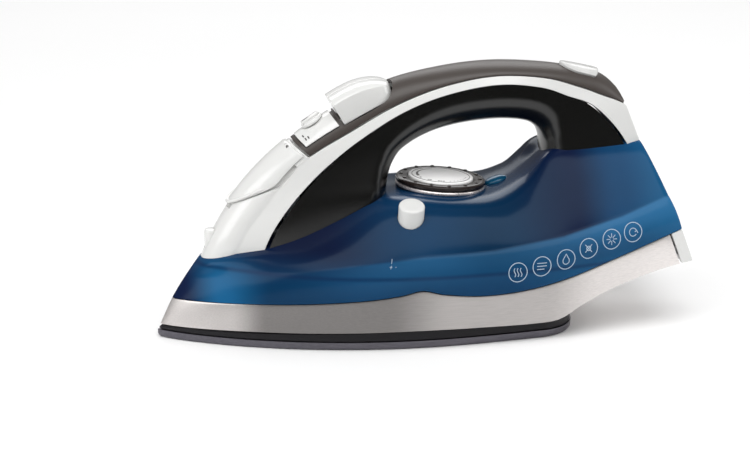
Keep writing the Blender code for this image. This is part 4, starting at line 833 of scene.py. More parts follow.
def steam_holes():
    """Places of the steam holes: a row along each edge of the nose, a few in the middle and two at the heel."""
    places = []
    for x in spread(34, 96, 4):
        half = ogive(x, 0, SOLE_HALF, SOLE_HALF, SOLE_LENGTH) - 13.5
        places += [(x, -half), (x, half)]
    places += [(62, 0), (78, 0)]
    for x in (122, 142, 196):
        places += [(x, -40.0), (x, 40.0)]
    return places


class IRON_OT_sole(Operator):
    """Soleplate with its steam holes, and the black heat shield whose rim shows above it"""

    bl_idname = "iron.sole"
    bl_label = "Sole and shield"

    def execute(self, context):
        sole = stacked("soleplate_casting", [
            plan_outline(SOLE_CHAMFER, 0), plan_outline(SOLE_CHAMFER * 0.45, SOLE_CHAMFER * 0.18),
            plan_outline(SOLE_CHAMFER * 0.12, SOLE_CHAMFER * 0.7), plan_outline(0, SOLE_THICK * 0.6),
            plan_outline(0, SOLE_THICK)])
        holes = [rod(f"hole_{i}", (x, y, -3), (x, y, 3 * SOLE_THICK), 1.5, 20)
                 for i, (x, y) in enumerate(steam_holes())]
        cut(sole, join(*holes))
        smooth(sole)
        fit(sole, "iron", "sole_coat", "sole_coating", "soleplate")

        bottom = SOLE_THICK + GAP

        def ledge(x):
            return min(BODY[0].height(min(x, SOLE_LENGTH - 20)), 11.5) - HEM_GAP

        outer = [(0.9, bottom, 0), (0.55, lambda x: bottom + 0.4, 0), (0.5, lambda x: ledge(x) - 1.1, 0),
                 (1.2, lambda x: ledge(x) - 0.2, 0), (4.6, ledge, 0), (6.0, SHIELD_DECK, 9)]
        inner = [(8.2, SHIELD_DECK - 2.0, 9), (6.8, 9.0, 0), (6.4, bottom, 0)]
        rings = [plan_outline(inset, z, nose) for inset, z, nose in outer + inner]
        count = len(rings[0])
        points = [p for ring in rings for p in ring]
        faces = []
        for level in range(len(rings)):
            if level == len(outer) - 1:
                continue
            for i in range(count):
                a, b = level * count + i, level * count + (i + 1) % count
                faces.append([a, b, (b + count) % len(points), (a + count) % len(points)])
        deck = (len(outer) - 1) * count
        faces.append([deck + i for i in range(count)])
        faces.append([deck + count + i for i in range(count)][::-1])
        shield = mesh_piece("heat_shield_rim", points, faces)
        smooth(shield)
        fit(shield, "iron", "heat_black", "heat_black", "heat_shield")
        return {"FINISHED"}


# ---------------------------------------------------------------- skirt, heel and tank


def heel_floor(name, start, end):
    """The underside of the heel overhang between two x positions."""
    hem = BODY[0]
    xs = spread(start, end, max(2, round((end - start) / 2)))
    ys = spread(-1, 1, 12)
    points = []
    for lift in (0.0, WALL):
        for x in xs:
            half = hem.half(x) - 1.0
            points += [Vector((x, y * half, hem.height(x) + 0.2 + lift - 1.0 * (1 - y * y))) for y in ys]
    return slab(name, points, len(xs), len(ys), grid_edges(len(xs), len(ys)))


class IRON_OT_skirt(Operator):
    """Brushed skirt round the heater, and the cap of the heel that the iron is stood up on"""

    bl_idname = "iron.skirt"
    bl_label = "Skirt and heel"

    def execute(self, context):
        rows = spread(0, 0.976, 14)
        skirt = moulded_wall("brushed_skirt", OUTSIDE, [*spread(0, 0.06, 14)[:-1], *spread(0.06, HEEL_CAP_SHARE, 96)],
                             rows, lambda a, b: 0.0, lambda a, b: -WALL)
        joint = OUTSIDE.point(HEEL_CAP_SHARE, 0).x
        soften(skirt, 0.45)
        floor = heel_floor("skirt_floor", SOLE_LENGTH - 2.0, joint - 1.5)
        join(skirt, floor)
        smooth(skirt)
        fit(skirt, "iron", "brushed_skirt", "brushed_silver", "lower_skirt")

        cap = moulded_wall("heel_cap", OUTSIDE, spread(HEEL_CAP_SHARE + 0.003, 1.0, 8), rows,
                           lambda a, b: 0.0, lambda a, b: -WALL)
        soften(cap, 0.5, 3)
        join(cap, heel_floor("heel_cap_floor", joint + 2.0, LENGTH - 1.5))
        smooth(cap)
        fit(cap, "iron", "white", "white_plastic", "heel_rest")
        return {"FINISHED"}


def dial_axis():
    return Vector((math.sin(DIAL_TILT), 0, math.cos(DIAL_TILT)))


DIAL_CENTRE = Vector((DIAL_X, 0, DIAL_Z))


def clean_seat():
    """Where the self-clean button stands on the shoulder, and the way it faces."""
    u = solve(lambda a: body_surface(a, 2.8).x, CLEAN_X, 0.3, 1.0)
    v = solve(lambda b: body_surface(u, b).y, CLEAN_Y, 2.0, 4.0)
    return body_surface(u, v), Vector((0, -math.sin(CLEAN_LEAN), math.cos(CLEAN_LEAN)))


def tank_swell(a, b):
    """How far the tank's lower side swells out under the crease along its shoulder, more towards the heel."""
    if not 1 < b < 2:
        return 0.0
    reach = min(1.0, max(0.0, (a - 0.45) / 0.35))
    return 1.5 * reach * reach * (3 - 2 * reach) * math.sin(math.pi * (2 - b)) ** 0.85


class IRON_OT_tank(Operator):
    """Polished blue shell of the water tank"""

    bl_idname = "iron.tank"
    bl_label = "Water tank"

    def execute(self, context):
        stations = [*spread(0, 0.06, 14)[:-1], *spread(0.06, 1.0, 130)]
        rows = [*spread(1, 2, 26)[:-1], *spread(2, 4, 44)]
        tank = moulded_wall("water_tank", OUTSIDE, stations, rows, tank_swell, lambda a, b: -WALL)
        soften(tank, 0.35)
        seat, axis = clean_seat()
        cut(tank, rod("clean_bore", seat + axis * 12, seat - axis * 14, CLEAN_RADIUS + GAP, 64))
        smooth(tank, 30)
        fit(tank, "iron", "tank", "tank_blue", "tank_shell")
        return {"FINISHED"}


# ---------------------------------------------------------------- printed marks on the tank


def surface_strokes(name, u, v, lines, width):
    """Flat printed lines on the tank round (u, v). Each line is a list of (along, up) points in mm."""
    step = 0.002
    du = step / (OUTSIDE.point(u + step, v) - OUTSIDE.point(u, v)).length
    dv = step / (OUTSIDE.point(u, v + step) - OUTSIDE.point(u, v)).length
    # The body's lines rise along x, so an upright mark leans back against them
    along = OUTSIDE.point(u + step, v) - OUTSIDE.point(u, v)
    lean = math.atan2(along.z, along.x)
    lift = 0.1

    def on_surface(s, t):
        a = s * math.cos(lean) + t * math.sin(lean)
        b = -s * math.sin(lean) + t * math.cos(lean)
        return OUTSIDE.lifted(u + a * du, v + b * dv, lift + tank_swell(u + a * du, v + b * dv))

    points, faces = [], []
    for line in lines:
        fine = [Vector(line[0])]
        for a, b in zip(line, line[1:]):
            count = max(1, math.ceil((Vector(b) - Vector(a)).length / 0.8))
            fine += [Vector(a).lerp(Vector(b), k / count) for k in range(1, count + 1)]
        start = len(points)
        closed = (fine[0] - fine[-1]).length < 1e-6
        for i, p in enumerate(fine):
            before = fine[i - 1] if i else (fine[-2] if closed else p)
            after = fine[i + 1] if i < len(fine) - 1 else (fine[1] if closed else p)
            way = (after - before).normalized()
            side = Vector((-way.y, way.x)) * width / 2
            points += [on_surface(*(p + side)), on_surface(*(p - side))]
        for i in range(len(fine) - 1):
            k = start + 2 * i
            faces.append([k, k + 1, k + 3, k + 2])
    made = mesh_piece(name, points, faces)
    apply(made, "SOLIDIFY", thickness=0.12 * MM, offset=0.0)
    return made


def arc(centre, radius, start, end, count=20):
    return [(centre[0] + radius * math.cos(math.radians(a)), centre[1] + radius * math.sin(math.radians(a)))
            for a in spread(start, end, count)]


def wave(x, bottom, height, swing):
    return [(x + swing * math.sin(k / 8 * 2 * math.pi), bottom + height * k / 8) for k in range(9)]


def pictogram(kind):
    """Plain signs for the printed badges: steam, drop, rays, cloth, cross and a turning arrow."""
    if kind == "steam":
        return [wave(x, -2.4, 4.8, 0.5) for x in (-1.8, 0, 1.8)]
    if kind == "drop":
        return [[(0, 3.0), (-0.9, 1.4), *arc((0, -0.7), 1.9, 150, 390, 16), (0.9, 1.4), (0, 3.0)]]
    if kind == "rays":
        return [[(0.9 * math.cos(a), 0.9 * math.sin(a)), (3.1 * math.cos(a), 3.1 * math.sin(a))]
                for a in (k * math.pi / 4 for k in range(8))]
    if kind == "cloth":
        return [[(-2.8, 1.8), (2.8, 1.8)], [(-2.8, 0.2), (2.8, 0.2)], [(-2.8, -1.5), (1.4, -1.5)]]
    if kind == "cross":
        return [[(-2, -2), (2, 2)], [(-2, 2), (2, -2)], arc((0, 0), 1.2, 0, 360, 14)]
    return [arc((0, 0), 2.2, 20, 330, 18), [(2.2, 0.8), (2.9, -0.6)], [(2.2, 0.8), (1.0, 0.1)]]


class IRON_OT_marks(Operator):
    """Printed badges with plain signs along the tank's side, and the marks of the water level"""

    bl_idname = "iron.marks"
    bl_label = "Printed marks"

    def execute(self, context):
        radius = context.scene.iron_sizes.badge_radius / MM
        places = ((192.0, 42.5), (205.9, 44.7), (220.0, 47.3), (233.7, 52.1), (247.5, 55.9), (260.1, 58.6))
        kinds = ("steam", "cloth", "drop", "cross", "rays", "turn")
        for side in ("right", "left"):
            made = []
            for i, ((x, z), kind) in enumerate(zip(places, kinds)):
                u = solve(lambda a: body_surface(a, 1.5).x, x, 0.3, 1.0)
                v = solve(lambda b: body_surface(u, b).z, z, 1.0, 2.0)
                made.append(surface_strokes(f"badge_{i}", u, v, [arc((0, 0), radius, 0, 360, 40)], 0.45))
                made.append(surface_strokes(f"sign_{i}", u, v, pictogram(kind), 0.42))
            u = solve(lambda a: body_surface(a, 2.0).x, 122.5, 0.3, 1.0)
            ticks = [[(0, 1.0), (0, -2.6)], [(0, -4.2), (0, -7.0)], [(-0.8, -5.4), (0.8, -5.4)],
                     [(2.4, -5.6), (3.0, -5.6)]]
            made.append(surface_strokes("level_ticks", u, 2.0, ticks, 0.3))
            badges = join(*made)
            badges.name = f"tank_print_{side}"
            if side == "left":
                mirror_across(badges)
            fit(badges, "iron", "ink_pale", "dial_pale")
        return {"FINISHED"}


# ---------------------------------------------------------------- dial


class IRON_OT_dial(Operator):
    """Temperature dial: bright trim, dark ring with raised nubs, and a pale printed disc"""

    bl_idname = "iron.dial"
    bl_label = "Dial"

    def execute(self, context):
        sizes = context.scene.iron_sizes
        axis = dial_axis()
        trim = turned("dial_bright_trim", DIAL_CENTRE, axis, [
            (5.0, GAP), (DIAL_RADIUS - 0.6, GAP), (DIAL_RADIUS, GAP + 0.7), (DIAL_RADIUS, DIAL_TRIM_THICK - 0.5),
            (DIAL_RADIUS - 0.4, DIAL_TRIM_THICK), (5.0, DIAL_TRIM_THICK), (5.0, GAP)], 96)
        smooth(trim)
        fit(trim, "iron", "chrome", "chrome", "dial_trim")

        base = DIAL_TRIM_THICK + GAP
        top = base + DIAL_RING_THICK
        ring = turned("dial_ring_knob", DIAL_CENTRE, axis, [
            (2.9, base), (DIAL_RADIUS - 1.0, base), (DIAL_RADIUS - 0.2, base + 0.4), (DIAL_RADIUS, base + 1.0),
            (DIAL_RADIUS - 0.2, top - 0.9), (DIAL_RADIUS - 0.9, top - 0.25), (DIAL_RADIUS - 1.8, top),
            (DIAL_CAP_RADIUS + 1.2, top), (DIAL_CAP_RADIUS + 0.6, top - 0.15), (DIAL_CAP_RADIUS + GAP, top - 0.5),
            (DIAL_CAP_RADIUS + GAP, top - 1.2), (2.9, top - 1.2), (2.9, base)], 96)
        matrix = axes_matrix(DIAL_CENTRE, axis)
        nubs = []
        first = turned("nub", (LENGTH / 2, 0, 0), (0, 0, 1), [
            (1.15, -0.4), (1.15, 0.35), (1.0, 0.62), (0.6, 0.78), (0.0, 0.82)], 20)
        for i in range(sizes.dial_nubs):
            nub = first if i == 0 else first.copy()
            if i:
                nub.data = first.data.copy()
                bpy.context.scene.collection.objects.link(nub)
            nubs.append(nub)
        for i, nub in enumerate(nubs):
            angle = 2 * math.pi * (i + 0.5) / sizes.dial_nubs
            spot = Matrix.Translation(((DIAL_RADIUS - 3.1) * MM * math.cos(angle),
                                       (DIAL_RADIUS - 3.1) * MM * math.sin(angle), (top - 0.1) * MM))
            nub.data.transform(matrix @ spot)
        join(ring, *nubs)
        smooth(ring)
        fit(ring, "dial", "dial_dark", "dial_dark", "dial_ring")

        cap_base = top - 1.2 + GAP
        disc = turned("dial_disc", DIAL_CENTRE, axis, [
            (0, cap_base), (DIAL_CAP_RADIUS, cap_base), (DIAL_CAP_RADIUS, cap_base + 1.1),
            (DIAL_CAP_RADIUS - 0.25, cap_base + 1.4), (DIAL_CAP_RADIUS - 0.9, cap_base + 1.6),
            (DIAL_CAP_RADIUS - 1.6, cap_base + 1.5), (DIAL_CAP_RADIUS - 2.0, cap_base + 1.5),
            (DIAL_CAP_RADIUS * 0.6, cap_base + 1.85), (DIAL_CAP_RADIUS * 0.3, cap_base + 2.0),
            (0, cap_base + 2.05)], 96)
        smooth(disc, 50)
        fit(disc, "dial", "dial_pale", "dial_pale", "dial_cap")

        height = cap_base + 1.66
        marks = []

        def dot(radius, angle, size):
            a = math.radians(angle)
            spot = DIAL_CENTRE + matrix.to_3x3() @ Vector((radius * math.cos(a), radius * math.sin(a), height))
            marks.append(turned("dot", spot, axis, [(0, -0.3), (size, -0.3), (size, 0.02), (0, 0.02)], 16))

        for count, angle in ((1, 205), (2, 232), (3, 259)):
            for k in range(count):
                dot(14.2, angle + (k - (count - 1) / 2) * 5.5, 0.62)
        for angle in spread(280, 340, 6):
            dot(14.2, angle, 0.32)
        steps = 40
        inner, outer = [], []
        for i in range(steps + 1):
            a = math.radians(100 + 90 * i / steps)
            wide = 0.15 + 1.5 * i / steps
            for store, radius in ((inner, 13.4 - wide / 2), (outer, 13.4 + wide / 2)):
                store.append(DIAL_CENTRE + matrix.to_3x3() @ Vector((radius * math.cos(a), radius * math.sin(a),
                                                                      height)))
        wedge = mesh_piece("wedge", inner + outer, [[i, i + 1, i + steps + 2, i + steps + 1] for i in range(steps)])
        apply(wedge, "SOLIDIFY", thickness=0.2 * MM, offset=0.0)
        rim = turned("rim_line", DIAL_CENTRE, axis, [(16.2, height - 0.3), (16.45, height - 0.3),
                                                     (16.45, height + 0.0), (16.2, height + 0.0),
                                                     (16.2, height - 0.3)], 96)
        printed = join(rim, wedge, *marks)
        printed.name = "dial_print"
        smooth(printed)
        fit(printed, "dial", "ink_dark", "dial_dark")
        return {"FINISHED"}


# ---------------------------------------------------------------- handle


def body_mass(name, height):
    """The body's outside as one solid, moved by height, to trim the handle where it runs into the tank."""
    rows = [0, 0.5, *spread(1, 4, 24)]
    stations = [*spread(0, 0.06, 5)[:-1], *spread(0.06, 1.0, 60)]
    points = []
    for u in stations:
        ring = [OUTSIDE.lifted(u, v, height) for v in rows]
        if u == 1.0:
            ring = [p + Vector((4, 0, 0)) for p in ring]
        points += [Vector((ring[0].x, 0, ring[0].z - 2)), *ring]
    columns = len(rows) + 1
    faces = []
    for i in range(len(stations) - 1):
        for j in range(columns - 1):
            faces.append([i * columns + j, (i + 1) * columns + j, (i + 1) * columns + j + 1, i * columns + j + 1])
    faces.append([(len(stations) - 1) * columns + j for j in range(columns)])
    return mesh_piece(name, points, faces, mirrored=True)


def trim_rear(piece):
    """Cuts a piece off flat at the leaning rear face."""
    take(piece)
    bpy.ops.object.mode_set(mode="EDIT")
    bpy.ops.mesh.select_all(action="SELECT")
    bpy.ops.mesh.bisect(plane_co=world((LENGTH, 0, REAR_FOOT_Z)),
                        plane_no=(math.cos(REAR_LEAN), 0, math.sin(REAR_LEAN)), use_fill=True, clear_outer=True)
    bpy.ops.object.mode_set(mode="OBJECT")


def patch(name, stations, half_width, top, bottom, steps=12):
    """A raised or sunk piece on top of the handle, between two heights above its surface."""
    shares = spread(0, 1, steps)
    points = []
    for height in (top, bottom):
        for t in stations:
            for share in shares:
                row = row_at(t, half_width(t) * share)
                points.append(HANDLE.lifted(t, row, height(t, share)))
    rows, columns = len(stations), len(shares)
    return slab(name, points, rows, columns, grid_edges(rows, columns)[1:], mirrored=True)


def crown(name, stations, half_width, top, bottom, inner_edge=0.0, draft=0.0, steps=16):
    """A straight-sided block on the handle's top line, from inner_edge out to half_width on the right side."""
    shares = spread(0, 1, steps)
    points = []
    for height, inwards in ((top, draft), (bottom, 0.0)):
        for t in stations:
            middle, normal = surface_frame(TOP_X(t))
            for share in shares:
                y = inner_edge + (half_width(t) - inner_edge) * share
                points.append(middle + normal * height(t, share) + Vector((0, -y * (1 - inwards * share), 0)))
    rows, columns = len(stations), len(shares)
    return slab(name, points, rows, columns, grid_edges(rows, columns))


def rounded_outline(start, end, half, nose_round, tail_round):
    """Half width against station for an outline with round ends."""

    def at(t):
        front = min(1.0, max(0.0, (t - start) / nose_round)) if nose_round else 1.0
        back = min(1.0, max(0.0, (end - t) / tail_round)) if tail_round else 1.0
        return max(0.6, half * math.sqrt(1 - (1 - front) ** 2) * math.sqrt(1 - (1 - back) ** 2))

    return at


def surface_frame(x):
    """Point on the middle of the handle's top at x, and the outward normal there."""
    t = station_at(x)
    point = handle_surface(t, 0)
    return point, (HANDLE.lifted(t, 0, 1.0) - point).normalized()


def ease_ends(start, end, count, share=0.08):
    """Values from start to end that lie close together near both ends, for rounded ends."""
    edge = (end - start) * share
    return [*spread(start, start + edge, 6)[:-1], *spread(start + edge, end - edge, count)[:-1],
            *spread(end - edge, end, 6)]


def door_outline():
    start, end = station_at(DOOR_FRONT_X), station_at(DOOR_REAR_X)
    return start, end, rounded_outline(start, end, 15.0, 1.1, 0)


def button_height(x):
    return rail((BUTTON_FRONT_X, 7.8), (108, 7.8), (116, 7.0), (123, 4.9), (128, 2.4), (BUTTON_REAR_X, 0.4))(x)


def button_half(x):
    return rail((BUTTON_FRONT_X, 13.4), (110, 13.7), (120, 13.6), (126, 12.6), (129.5, 9.6), (BUTTON_REAR_X, 4.4))(x)


def button_pockets(target):
    """Cuts the wells that the two pump buttons move in."""
    wide = [station_at(x) for x in [BUTTON_FRONT_X - 0.5, *spread(BUTTON_FRONT_X + 2, BUTTON_REAR_X + 1.9, 20)]]

    def well_half(t):
        x = TOP_X(t)
        return max(button_half(min(x, BUTTON_REAR_X)), button_half(min(x - 1.6, BUTTON_REAR_X))) + 0.7

    for side in ("right", "left"):
        well = crown("well_" + side, wide, well_half, lambda t, s: 14.0,
                     lambda t, s: -9.4 - 2.9 * s**3, inner_edge=-0.01)
        if side == "left":
            mirror_across(well)
        cut(target, well)


class IRON_OT_handle(Operator):
    """Bridge handle: white nose and side bands, gloss black underside, and the soft dark cover of the grip"""

    bl_idname = "iron.handle"
    bl_label = "Handle"

    def execute(self, context):
        front, rear, edge = station_at(COVER_FRONT_X), COVER_REAR_KEY, 0.97

        def frame_outside(t, p):
            return -(GRIP_COVER_THICK + GAP) if front <= t <= rear and p <= edge else 0.0

        def frame_inside(t, p):
            return -FRAME_DEPTH if p < 1 else -WALL - 0.6 if p < 1.9 else -0.5

        stations = [*spread(0, front - 0.02, 44), *spread(front, rear, 84), *spread(rear + 0.05, LAST_KEY, 16)]
        rows = [*spread(0, edge, 26), *spread(1, 1.965, 12)]
        bands = moulded_wall("white_bands", HANDLE, stations, rows, frame_outside, frame_inside)
        trim_rear(bands)
        soften(bands, 0.3)
        cut(bands, body_mass("tank_inside_bands", -0.9))
        start, end, outline = door_outline()
        cut(bands, patch("door_seat", [*spread(start - 0.03, end, 40), station_at(DOOR_REAR_X + 0.4)],
                         lambda t: outline(t) + 0.45, lambda t, s: 6.0, lambda t, s: DOOR_LIFT - 2.7))
        cut(bands, patch("hinge_relief", [station_at(x) for x in spread(DOOR_REAR_X - 6, DOOR_REAR_X + 0.4, 8)],
                         lambda t: outline(t) + 0.45, lambda t, s: 0.0, lambda t, s: -3.3))
        mouth, out = surface_frame(FUNNEL_X)
        lip = mouth - out * 4.2
        cut(bands, rod("funnel_bore", lip + out * 8, lip - out * 24, FUNNEL_RADIUS + GAP, 64))
        nose, nose_normal = surface_frame(DOOR_FRONT_X - 0.6)
        cut(bands, block("finger_notch", nose + nose_normal * 0.4, (3.0, 10.0, 4.0),
                         nose_normal.cross(Vector((0, 1, 0))), nose_normal, 0.6))
        button_pockets(bands)
        jet = Vector((NOZZLE_X, 0, NOZZLE_Z))
        cut(bands, turned("nozzle_seat", jet - Vector((0, 0, GAP)), (0, 0, 1), [
            (0, 0), (3.1, 0), (3.9, 2.5 + GAP), (4.1, 11 + GAP), (4.1, 12.5 + 2 * GAP), (0, 12.5 + 2 * GAP)], 48))
        smooth(bands, 30)
        fit(bands, "iron", "white", "white_plastic", "handle_frame")

        under = moulded_wall("black_underside", HANDLE, spread(0, LAST_KEY, 150),
                             [*spread(2.035, 3, 16)[:-1], *spread(3, 4, 24)], lambda a, b: 0.0,
                             lambda a, b: -0.5 if b < 2.06 else -WALL)
        trim_rear(under)
        cut(under, body_mass("tank_inside_underside", -0.9))
        smooth(under, 40)
        fit(under, "iron", "gloss_black", "gloss_black", "handle_shell")

        cover = moulded_wall("grip_top", HANDLE, ease_ends(front + 0.04, rear - 0.15, 90), spread(0, edge - 0.02, 24),
                             lambda a, b: 0.0, lambda a, b: -GRIP_COVER_THICK)
        trim_rear(cover)
        soften(cover, 0.35)
        start, end = station_at(79.0), station_at(98.0)
        cut(cover, patch("plate_seat", spread(start - 0.03, end + 0.06, 24), lambda t: 13.8,
                         lambda t, s: 5.0, lambda t, s: -1.1))
        button_pockets(cover)
        start, end = station_at(230.0), station_at(251.5)
        lens = rounded_outline(start, end, 9.4, 0.5, 0.2)
        cut(cover, patch("lens_seat", spread(start - 0.02, end + 0.02, 40), lambda t: lens(t) + 0.5,
                         lambda t, s: 5.0, lambda t, s: -1.6))
        smooth(cover, 30)
        fit(cover, "iron", "grip", "grip_grey", "grip_cover")
        return {"FINISHED"}


# ---------------------------------------------------------------- filler, buttons, steam control


def bead(name, path, radius, sides=16):
    """A round bead along a path of design points, with both ends closed."""
    rings = []
    for i, p in enumerate(path):
        way = (path[min(i + 1, len(path) - 1)] - path[max(i - 1, 0)]).normalized()
        side = way.cross(Vector((0, 0, 1))).normalized()
        up = side.cross(way)
        rings.append([p + side * radius * math.cos(a) + up * radius * math.sin(a)
                      for a in (2 * math.pi * k / sides for k in range(sides))])
    return stacked(name, rings)


class IRON_OT_filler(Operator):
    """Filler door with its hinge lug and finger lip, and the funnel behind it"""

    bl_idname = "iron.filler"
    bl_label = "Filler"

    def execute(self, context):
        start, end, outline = door_outline()
        point, normal = surface_frame(DOOR_PIN_X)
        hinge = point - normal * DOOR_PIN_DEPTH

        def door_top(t, s):
            """The door's outside, rounded about its pin at the rear so that it turns inside its seat."""
            behind = (handle_surface(t, 0) - point).length if TOP_X(t) > DOOR_PIN_X else 0.0
            heel = math.sqrt(max(0.0, (DOOR_HEEL_RADIUS - 0.05) ** 2 - behind**2)) - DOOR_PIN_DEPTH
            return min((DOOR_LIFT - 0.2) * (1 - 0.6 * s**6) + 0.2, heel)

        heel_stations = [station_at(x) for x in spread(DOOR_PIN_X - 0.8, DOOR_REAR_X, 10)]
        door = patch("filler_flap", [*ease_ends(start, heel_stations[0], 40, 0.1)[:-1], *heel_stations], outline,
                     door_top, lambda t, s: DOOR_LIFT - 2.1, 20)
        soften(door, 0.3, 3, 30)
        across = Vector((0, 1, 0))
        lug = rod("hinge_barrel", hinge - across * 5, hinge + across * 5, 1.6)
        for piece in (door, lug):
            cut(piece, rod("pin_bore", hinge - across * 8.5, hinge + across * 8.5, 0.9))
        edge = []
        for share in spread(0, 1, 30):
            t = start + 0.75 * (1 - math.cos(math.pi / 2 * share))
            y = outline(t) - 0.9 if share else 0.0
            spot = HANDLE.lifted(t, row_at(t, max(y, 0.0)), DOOR_LIFT + 0.05 - 1.3 * share**4)
            edge.append(spot)
        lip = bead("finger_lip", [Vector((p.x, -p.y, p.z)) for p in reversed(edge[1:])] + edge, 1.0)
        join(door, lug, lip)
        smooth(door, 40)
        fit(door, "filler_door", "white", "white_plastic", "fill_door")

        mouth, out = surface_frame(FUNNEL_X)
        lip = mouth - out * 4.2
        funnel = turned("filler_funnel", lip, -out, [
            (FUNNEL_RADIUS, 0.3), (FUNNEL_RADIUS, 10), (5.0, 13), (5.0, 22), (3.8, 22), (3.8, 12.4),
            (FUNNEL_RADIUS - 1.2, 9), (FUNNEL_RADIUS - 1.2, 0.5), (FUNNEL_RADIUS - 0.9, 0.1),
            (FUNNEL_RADIUS - 0.3, 0), (FUNNEL_RADIUS, 0.3)], 64)
        pipe = Vector((76.6, 0, 0))
        down = turned("fill_pipe", pipe + Vector((0, 0, 54)), (0, 0, 1), [
            (4.6, 0), (4.6, 22.5), (3.4, 22.5), (3.4, 0), (4.6, 0)], 48)
        join(funnel, down)
        smooth(funnel)
        fit(funnel, "iron", "milky", "milky_plastic", "fill_funnel")
        return {"FINISHED"}


class IRON_OT_buttons(Operator):
    """The spray and steam-shot buttons, side by side on the grip"""

    bl_idname = "iron.buttons"
    bl_label = "Pump buttons"

    def execute(self, context):
        stations = [station_at(x) for x in [*spread(BUTTON_FRONT_X, 125, 24), *spread(125, BUTTON_REAR_X, 12)[1:]]]
        for name, body, node in (("shot_key_cap", "shot_key", "shot_button"),
                                 ("spray_key_cap", "spray_key", "spray_button")):
            key = crown(name, stations, lambda t: button_half(TOP_X(t)),
                        lambda t, s: button_height(TOP_X(t)) * (1 - 0.18 * s**4) - 1.2 * s**4,
                        lambda t, s: -4.5 - 2.9 * s**3, inner_edge=0.3, draft=0.06)
            soften(key, 0.8, 4, 30)
            if node == "spray_button":
                mirror_across(key)
            smooth(key, 34)
            fit(key, body, "white", "white_plastic", node)
        return {"FINISHED"}


class IRON_OT_steam(Operator):
    """Scale plate of the steam control with its printed signs, and the lever knob on it"""

    bl_idname = "iron.steam"
    bl_label = "Steam control"

    def execute(self, context):
        start, end = station_at(79.0), station_at(98.0)
        plate = patch("steam_plate", ease_ends(start, end, 24), lambda t: 13.4, lambda t, s: 0.5, lambda t, s: -0.8)
        soften(plate, 0.35, 3)
        point, normal = surface_frame(LEVER_X)
        foot = point + normal * (0.5 + GAP)
        cut(plate, rod("stem_bore", foot + normal * 6, foot - normal * 20, 2.5, 32))
        smooth(plate, 34)
        fit(plate, "iron", "white", "white_plastic", "steam_control_plate")

        along = normal.cross(Vector((0, 1, 0)))
        knob = turned("steam_knob", foot, normal, [
            (0, 0), (6.2, 0), (6.4, 0.25), (6.4, 1.0), (6.15, 1.4), (5.6, 1.65), (4.2, 1.75), (0, 1.8)], 64)
        fin = block("knob_fin", foot + normal * 2.0, (11.0, 4.2, 2.6), along, normal, 0.8)
        stem = rod("knob_stem", foot + normal * 0.5, foot - normal * 8.0, 2.2, 32)
        join(knob, fin, stem)
        smooth(knob)
        fit(knob, "steam_lever", "white", "white_plastic", "steam_control_lever")
        pointer = block("knob_pointer", foot + normal * 3.32 + along * 2.6, (3.6, 0.9, 0.12), along, normal)
        fit(pointer, "steam_lever", "ink_dark", "dial_dark")

        signs = []
        for k, y in enumerate((-10.4, -7.6, 7.6, 10.4)):
            for j in range(2 if k % 3 == 0 else 1):
                x = 81.4 + 1.5 * j
                t = station_at(x)
                spot = HANDLE.lifted(t, row_at(t, y), 0.52)
                spot.y = math.copysign(spot.y, y)
                up = HANDLE.lifted(t, row_at(t, y), 1.5) - HANDLE.lifted(t, row_at(t, y), 0.5)
                up.y = math.copysign(up.y, y)
                signs.append(block(f"sign_{k}_{j}", spot, (0.7, 2.0, 0.1), along, up))
        marks = join(*signs)
        marks.name = "steam_plate_print"
        fit(marks, "iron", "ink_dark", "dial_dark")
        return {"FINISHED"}


